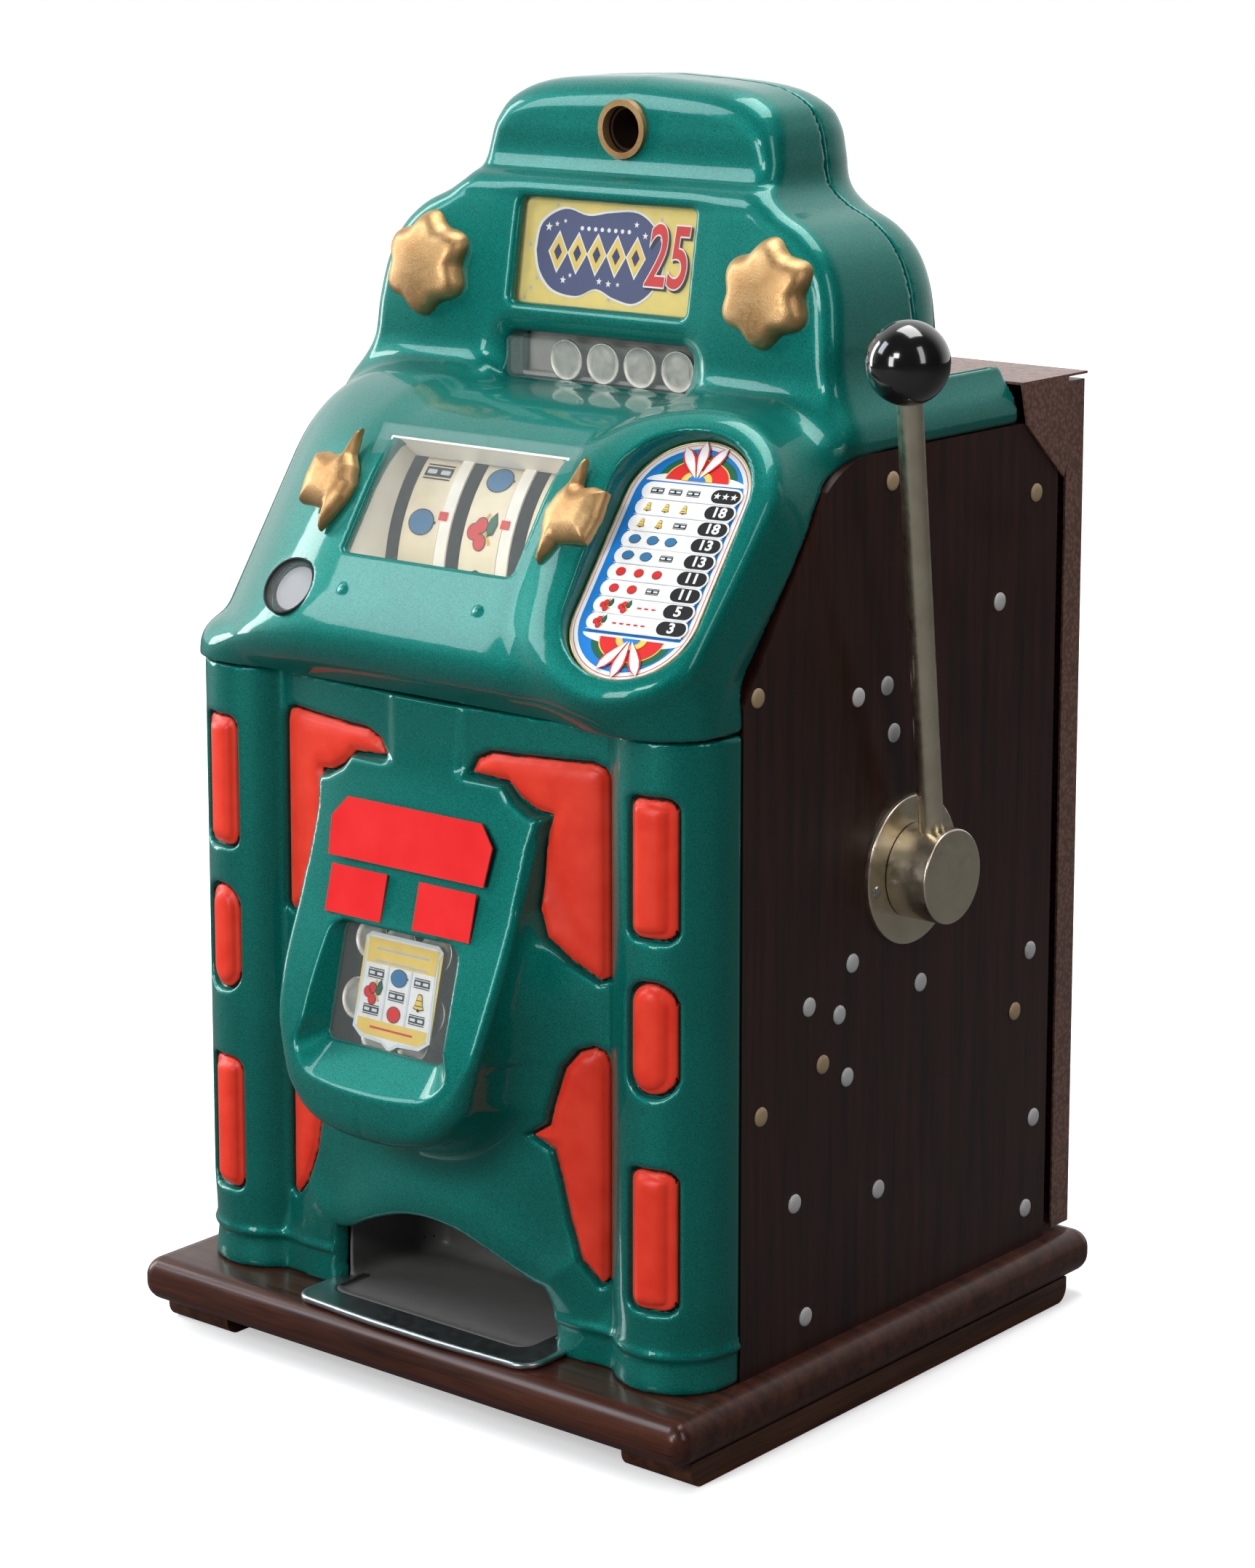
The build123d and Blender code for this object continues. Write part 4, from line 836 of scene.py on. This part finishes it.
class Print:
    """Printed shapes on a surface: place(u, v, lift) gives a point in millimetres."""

    def __init__(self, place):
        self.place = place
        self.points, self.faces, self.inks = [], [], []

    def shape(self, outline, ink, layer):
        """Fills an outline with ink, as a fan about its middle."""
        first, count = len(self.points), len(outline)
        outline = outline + [tuple(np.mean(outline, 0))]
        self.points += [self.place(u, v, layer * LAYER) for u, v in outline]
        self.faces += [(first + k, first + (k + 1) % count, first + count) for k in range(count)]
        self.inks += [ink] * count

    def numbers(self, text, u, v, size, ink, layer, lean, weight, wide):
        """Prints figures centred at (u, v)."""
        curve = bpy.data.curves.new("figures", "FONT")
        curve.body, curve.size, curve.offset = text, size, weight
        curve.align_x, curve.align_y = "CENTER", "CENTER"
        holder = link("figures", curve)
        graph = bpy.context.evaluated_depsgraph_get()
        mesh = bpy.data.meshes.new_from_object(holder.evaluated_get(graph))
        first = len(self.points)
        self.points += [self.place(u + (p.co.x + p.co.y * lean) * wide, v + p.co.y, layer * LAYER)
                        for p in mesh.vertices]
        self.faces += [tuple(first + k for k in face.vertices) for face in mesh.polygons]
        self.inks += [ink] * len(mesh.polygons)
        bpy.data.objects.remove(holder)
        bpy.data.curves.remove(curve)
        bpy.data.meshes.remove(mesh)

    def finish(self, name, body):
        """Makes the mesh and gives each face its ink."""
        piece = link_mesh(name, self.points, self.faces, False)
        used = sorted(set(self.inks))
        for ink in used:
            piece.data.materials.append(LOOKS["ink_" + ink])
        piece.data.polygons.foreach_set("material_index", [used.index(ink) for ink in self.inks])
        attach(piece, body)


def on_plane(origin, right, up):
    """Place function of a plane."""
    origin, right, up = (np.array(a, float) for a in (origin, right, up))
    out = np.cross(right, up)
    return lambda u, v, lift: tuple(origin + u * right + v * up + lift * out)


def plum(art, u, v, size, layer):
    """A plum, or any round fruit."""
    art.shape(disc(u, v, 10.0 * size, 8.2 * size), "black", layer)
    art.shape(disc(u, v, 9.3 * size, 7.5 * size), "plum", layer + 1)
    art.shape(bar(u + 9.6 * size, v + 0.5, 1.5 * size, 0.8 * size), "black", layer)


def cherries(art, u, v, size, layer):
    """Three cherries with a leaf and two stems."""
    size = size * 1.15
    leaf = [(3.2, -3), (7.5, -1.5), (9.2, 4), (6.8, 10.5), (3.6, 7), (2.0, 2)]
    art.shape(scaled(leaf, u, v, size), "black", layer)
    art.shape(scaled(leaf, u + 0.8 * size, v + 0.9 * size, 0.84 * size), "green", layer + 1)
    for stem in ([(-1.5, 4), (1.5, 9.5), (3.2, 9), (0.6, 3)],
                 [(3, 0), (7, -6.5), (5.4, -7.4), (1.6, -1.5)]):
        art.shape(scaled(stem, u, v, size), "gold", layer)
    for a, b in scaled([(-5.6, -1.0), (-0.4, -6.2), (-1.2, 2.6)], u, v, size):
        art.shape(disc(a, b, 4.3 * size, 4.6 * size, 14), "black", layer + 1)
        art.shape(disc(a, b, 3.8 * size, 4.1 * size, 14), "red", layer + 2)


def bell(art, u, v, size, layer):
    """A bell."""
    side = [(0, 7.6), (2.4, 6.8), (3.4, 3.6), (4.2, -1.5), (5.6, -4.4), (6.6, -6.2), (4.2, -7.0),
            (0, -7.4)]
    full = side + [(-a, b) for a, b in side[-2:0:-1]]
    art.shape(scaled(full, u, v, size), "black", layer)
    art.shape(scaled(full, u, v, 0.86 * size, 0.88 * size), "yellow", layer + 1)
    art.shape(bar(u, v + 1.5 * size, 3.2 * size, 0.35 * size), "black", layer + 2)
    art.shape(bar(u, v - 3.4 * size, 4.2 * size, 0.35 * size), "black", layer + 2)
    art.shape(disc(u, v - 7.4 * size, 1.5 * size, None, 10), "black", layer + 2)


def orange(art, u, v, size, layer):
    """An orange."""
    art.shape(disc(u, v, 8.2 * size, 7.6 * size), "black", layer)
    art.shape(disc(u, v, 7.5 * size, 6.9 * size), "red", layer + 1)


def plate(art, u, v, size, layer):
    """A black bar symbol between thin lines."""
    art.shape(bar(u, v, 10.5 * size, 3.2 * size), "black", layer)
    for side in (-1, 1):
        art.shape(bar(u, v + side * 4.6 * size, 10.5 * size, 0.5 * size), "black", layer)
        end = bar(u + side * 5.2 * size, v, 3.6 * size, 1.5 * size, 0.7 * size)
        art.shape(end, "pale", layer + 1)


# ---- reels ----
REEL_R, REEL_Y, REEL_Z, REEL_PITCH = 98.0, -42.0, 457.0, 46.0
MASK_R = 104.3  # the white mask's radius, in front of the reels
PAY_LINE = radians(21.5)
STOPS = 20
SYMBOLS = {"P": plum, "B": plate, "L": bell, "O": orange, "C": cherries}
ORDERS = ("PBLOCOPLOPBOLPCOPLOO", "CPOLCBOPLCOPLBCOLPCL", "LOPLOBPOLOPLOBLOPLOP")
FLANGE = [(60, 10.5), (97.0, 10.5), (97.0, 13.2), (60, 13.2)]  # radius, distance from middle
FLANGE_SIDES = 72


def about_shaft(x, r, turn):
    """A point at radius r from the reels' shaft."""
    return (x, REEL_Y - r * cos(turn), REEL_Z + r * sin(turn))


def on_drum(middle, radius):
    """Place function of a reel's rim; v runs up from the pay line."""
    return lambda u, v, lift: about_shaft(middle + u, radius + lift, PAY_LINE + v / radius)


def tube(count, sides):
    """Faces of a closed band of count rings of points."""
    faces = []
    for k in range(count):
        here, after = k * sides, (k + 1) % count * sides
        for j in range(sides):
            n = (j + 1) % sides
            faces.append((here + j, here + n, after + n, after + j))
    return faces


for number, body in enumerate(("reel_left", "reel_middle", "reel_right")):
    middle = (number - 1) * REEL_PITCH
    art = Print(on_drum(middle, REEL_R))
    for stop, letter in enumerate(ORDERS[number]):
        size = 1.12 if letter == "L" else 0.96
        SYMBOLS[letter](art, 0, stop * 2 * pi * REEL_R / STOPS, size, 3)
    art.finish("reel_symbols_" + str(number + 1), body)
    for side, letter in ((-1, "a"), (1, "b")):
        rings = [about_shaft(middle + side * h, r, turn)
                 for turn in np.arange(FLANGE_SIDES) * 2 * pi / FLANGE_SIDES for r, h in FLANGE]
        faces = [face[::side] for face in tube(FLANGE_SIDES, len(FLANGE))]
        flange = link_mesh("reel_flange_" + str(number + 1) + letter, rings, faces, False)
        dress(flange, body, "galvanised_steel", look="reel_blue")

tabs = Print(on_drum(0, MASK_R))
for side in (-1, 1):
    tabs.shape(bar(side * REEL_PITCH / 2 - 2.4, 4.0, 3.2, 2.6), "red", 2)
tabs.finish("pay_line_tabs", "cabinet")


# ---- pay card ----
def stadium(wide, tall, turns=24):
    """Outline of an upright stadium."""
    r = wide / 2
    top = [(r * cos(pi * k / turns), (tall - wide) / 2 + r * sin(pi * k / turns))
           for k in range(turns + 1)]
    return top + [(-u, -v) for u, v in top]


art = Print(on_plane(CARD_AT - 1.15 * CARD_N, CARD_U, CARD_V))
for layer, inset, ink in ((1, 0, "white"), (2, 3.2, "red"), (3, 4.0, "white"), (4, 8.7, "blue")):
    art.shape(stadium(75.2 - inset, 152.2 - inset), ink, layer)

# A half-round flower at each end of the card, with three white petals over it.
for side, mid, edge, reach, start in ((-1, 3.0, -51.0, 25.0, pi), (1, 2.0, 50.5, 26.0, 0.0)):
    half = (start, start + pi)
    for r, ink in ((24.5, "green"), (20.0, "yellow"), (19.2, "red"), (9.5, "yellow")):
        art.shape(disc(mid, edge, r, r * 0.72, 20, *half), ink, 5 + int((25 - r) / 2.6))
    art.shape(disc(mid, edge - side * 1.5, 31, 6.5, 20, *half), "white", 6)
    art.shape(disc(mid, edge, 5.5, 3.6, 12, *half), "blue", 13)
    for lean in (-0.62, -0.12, 0.5):
        tip = np.array((mid + reach * 0.95 * sin(lean), edge + side * reach * cos(lean)))
        root = np.array((mid + 2.0 * lean, edge + side * 1.5))
        across = 2.9 * np.array((cos(lean), -side * sin(lean)))
        for grow, ink, layer in ((1.35, "red", 14), (0.95, "white", 15)):
            petal = [tuple(root + (tip - root) * t + across * grow * w)
                     for t, w in ((0, 0), (0.35, 0.7), (0.6, 1), (0.8, 0.8), (1, 0), (0.8, -0.8),
                                  (0.6, -1), (0.35, -0.7))]
            art.shape(petal, ink, layer)

# What pays, the figure beside it and the number of red dashes after it.
ROWS = (("", "BBB", 0), ("18", "LLL", 0), ("18", "LLB", 0), ("13", "PPP", 0), ("13", "PPB", 0),
        ("11", "OOO", 0), ("11", "OOB", 0), ("5", "CC", 3), ("3", "C", 5))
TOP_ROW, ROW_PITCH = 41.9, 10.55
FIRST_SYMBOL, SYMBOL_PITCH, FIGURE_U = -20.0, 11.2, 24.0
for row, (pays, symbols, dashes) in enumerate(ROWS):
    v = TOP_ROW - row * ROW_PITCH
    art.shape(bar(2.85, v, 31.1, 5.7, 5.6), "white", 16)
    art.shape(bar(2.6, v - 5.2, 29.5, 0.25), "pale", 17)
    art.shape(bar(FIGURE_U, v, 8.9, 4.3, 4.2), "black", 18)
    for place, letter in enumerate(symbols):
        nudge, size = (1.5, 0.38) if letter == "B" else (0, 0.36)
        SYMBOLS[letter](art, FIRST_SYMBOL + place * SYMBOL_PITCH + nudge, v, size, 18)
    for dash in range(dashes):
        u = FIRST_SYMBOL + SYMBOL_PITCH * len(symbols) - 2.2 + dash * 4.4
        art.shape(bar(u, v - 0.3, 1.25, 0.5), "red", 18)
    if pays:
        art.numbers(pays, FIGURE_U, v, 8.6, "white", 20, lean=0.0, weight=0.28, wide=1.05)
    else:
        for place in (-1, 0, 1):
            art.shape(star(FIGURE_U + place * 5.2, v, 2.3), "white", 20)
art.finish("pay_card_print", "cabinet")

# Brass bead round the card: its profile, outward from the card's edge and above its face.
RIM = [(-0.4, -2.5), (-0.4, -0.9), (-0.9, -0.5), (-1.5, -0.7), (-1.8, -1.2), (-1.8, -2.5)]
place = on_plane(CARD_AT, CARD_U, CARD_V)
beads = [[(u, v, lift) for u, v in stadium(CARD_WIDE + 2 * out, CARD_LONG + 2 * out)]
         for out, lift in RIM]
points = [place(*corner) for ring in zip(*beads) for corner in ring]
rim = link_mesh("pay_card_rim", points, tube(len(beads[0]), len(RIM)))
dress(rim, "cabinet", "brass")

# ---- sign card ----
LEAN = radians(8.5)
CARD_GAP = 2.85  # from the window's glass back to the card
art = Print(on_plane((0, -24.5 + CARD_GAP * cos(LEAN), SIGN_Z - CARD_GAP * sin(LEAN)), RIGHT,
                     (0, sin(LEAN), cos(LEAN))))
for k in range(34):
    u, v = -61 + (k * 37.0) % 122, -28 + (k * 23.0) % 56
    art.shape(star(u, v, 1.7, turn=k), "grey", 1)
BLOB = flow([(-55, 0), (-52, 16), (-36, 25), (-18, 22), (-2, 24.5), (18, 25.5), (32, 17), (40, 2),
             (36, -14), (22, -25.5), (6, -24), (-8, -19.5), (-22, -24.5), (-40, -22), (-51, -12),
             (-55, 0)], 5)[:-1]
art.shape(scaled(BLOB, -0.2, 0, 1.03, 1.05), "white", 2)
art.shape(BLOB, "navy", 3)
for u, v, r in ((-47, 14, 2.8), (-41, 16, 1.8), (-35, 18, 1.5), (18, 19, 2.0), (25, 13, 2.2),
                (-33, -16, 2.4), (-28, -13, 1.6), (-6, -15, 2.2), (1, -16, 2.2), (8, -16, 1.6)):
    art.shape(star(u, v, r), "white", 4)
for place in range(8):
    art.shape(disc(-22 + place * 5.0, 14.6, 1.3, None, 10), "white", 4)
DIAMOND = [(0, 12.5), (7.4, 0), (0, -12.5), (-7.4, 0)]
for place in range(5):
    for grow, ink, layer in ((1.0, "white", 4), (0.86, "yellow", 5), (0.4, "navy", 6)):
        art.shape(scaled(DIAMOND, -38.5 + place * 14.5, 0, grow), ink, layer)
for off, weight, ink, layer in ((1.3, 1.5, "black", 8), (0, 1.5, "white", 9), (0, 0.55, "red", 10)):
    art.numbers("25", 43.5 + off, 0.5 - off, 50, ink, layer, lean=0.12, weight=weight, wide=0.62)
art.finish("sign_card_print", "cabinet")

# ---- jackpot card ----
RAKE, RISE = 0.2425, 0.9701  # the card leans back: Y and Z per unit up it
JACKPOT_AT = np.array((0, -209.9, 243.65))
JACKPOT_UP = np.array((0, RAKE, RISE))
JACKPOT_OUT = np.array((0, -RISE, RAKE))
art = Print(on_plane(JACKPOT_AT - 3.05 * JACKPOT_OUT, RIGHT, JACKPOT_UP))
CREST = [(-29, 27), (-25, 30), (25, 30), (29, 27), (27, 22), (27.5, 0), (29, -24), (22, -29),
         (6, -30), (0, -33.5), (-6, -30), (-22, -29), (-29, -24), (-27.5, 0), (-27, 22)]
art.shape(CREST, "pale", 2)
art.shape(scaled(CREST, 0, 0, 0.94), "white", 3)
art.shape([(-26.5, 27), (26.5, 27), (25.4, 13), (-25.4, 13)], "yellow", 4)
art.shape([(-26, -18), (26, -18), (26, -24), (20, -27), (-20, -27), (-26, -24)], "yellow", 4)
for side in (-1, 1):
    art.shape(bar(side * 8.6, -2.5, 0.7, 15.2), "pale", 5)
    art.shape(bar(0, 18 + side * 3.4, 19.5, 0.55), "grey", 5)
art.shape(bar(0, -22.2, 16, 0.6), "red", 5)
for row, symbols in enumerate(("BPB", "CBL", "BOB")):
    for column, letter in enumerate(symbols):
        size = 0.55 if letter == "B" else 0.62
        SYMBOLS[letter](art, (column - 1) * 17.2, 7.5 - row * 10.2, size, 6)
art.finish("jackpot_card_print", "cabinet")

# ---- coins and nails: turned pieces ----
COIN_EDGE = [(11.6, 0.0), (12.13, 0.25), (12.13, 1.5), (11.7, 1.75), (11.2, 1.7), (10.8, 1.45),
             (8.0, 1.5), (5.0, 1.62), (2.5, 1.66), (0.01, 1.68)]
CHECK_EDGE = [(r * 1.12, h) for r, h in COIN_EDGE]
WELL = [(0.01, -3.0), (17.5, -3.0), (17.5, 5.0), (16.2, 5.0), (16.2, -2.0), (0.01, -2.0)]
DOME = [(5.5, 0.0), (5.5, 0.35), (5.2, 0.9), (4.3, 1.4), (3.0, 1.7), (1.5, 1.78), (0.01, 1.8)]


def turned(name, places, profile, sides, slot, *stands_for, look=None):
    """A piece of one or more turned bodies.

    places are (origin, axis) pairs; profile is (radius, height along axis) pairs.
    """
    points, faces = [], []
    rows = len(profile)
    for origin, axis in places:
        axis = Vector(axis).normalized()
        across = axis.orthogonal().normalized()
        other = axis.cross(across)
        first = len(points)
        for k in range(sides):
            turn = 2 * pi * k / sides
            out = across * cos(turn) + other * sin(turn)
            points += [tuple(Vector(origin) + out * r + axis * h) for r, h in profile]
        for k in range(sides):
            for j in range(rows - 1):
                a, b = first + k * rows + j, first + (k + 1) % sides * rows + j
                faces.append((a, b, b + 1, a + 1))
        for end, flip in ((0, 1), (rows - 1, -1)):
            faces.append(tuple(first + k * rows + end for k in range(sides))[::-flip])
    dress(link_mesh(name, points, faces), "cabinet", slot, *stands_for, look=look)


shown = [((-29 + k * 27.6, -25.0, 575.5), (0, -1, 0)) for k in range(4)]
turned("escalator_coins_visual", shown, COIN_EDGE, 36, "coin_silver", "escalator_coins")

heap = []
for row in range(4):
    for column in range(-1, 3):
        u = column * 25 - 12.5 + 7 * (row % 2)
        depth = -7.0 - 1.9 * ((row + column) % 3)
        if abs(u) < 33:
            at = JACKPOT_AT + u * RIGHT + (-26 + row * 17.0) * JACKPOT_UP + depth * JACKPOT_OUT
            heap.append((at, JACKPOT_OUT))
turned("jackpot_coins_visual", heap, COIN_EDGE, 36, "coin_silver", "jackpot_coins")

well_at = PANEL + LENS_X * RIGHT + LENS_DOWN * UP_SLOPE - 6.0 * OUT_SLOPE
turned("check_coin_visual", [(well_at + 3.0 * RIGHT, OUT_SLOPE)], CHECK_EDGE, 40, "coin_silver",
       "coin_check_disc", look="check_coin")
turned("check_coin_well", [(well_at, OUT_SLOPE)], WELL, 40, "galvanised_steel",
       look="black_paint_and_groove_shade")

ZINC_NAILS = ((100, 441), (-37, 408), (-10, 410), (-3, 382), (138, 225), (145, 120), (138, 65),
              (-40, 257), (26, 231), (-80, 241), (-52, 230), (-44, 192), (-92, 131), (-13, 118),
              (-81, 62))
TAN_NAILS = ((-7, 525), (136, 500), (-128, 423), (123, 191), (-67, 205), (-123, 189))
for name, look, nails in (("side_nails_zinc", "nail_zinc", ZINC_NAILS),
                          ("side_nails_tan", "tanned_zinc", TAN_NAILS)):
    places = [((side * SIDE, y, z), (side, 0, 0)) for y, z in nails for side in (-1, 1)]
    turned(name, places, DOME, 20, "galvanised_steel", "side_nails", look=look)
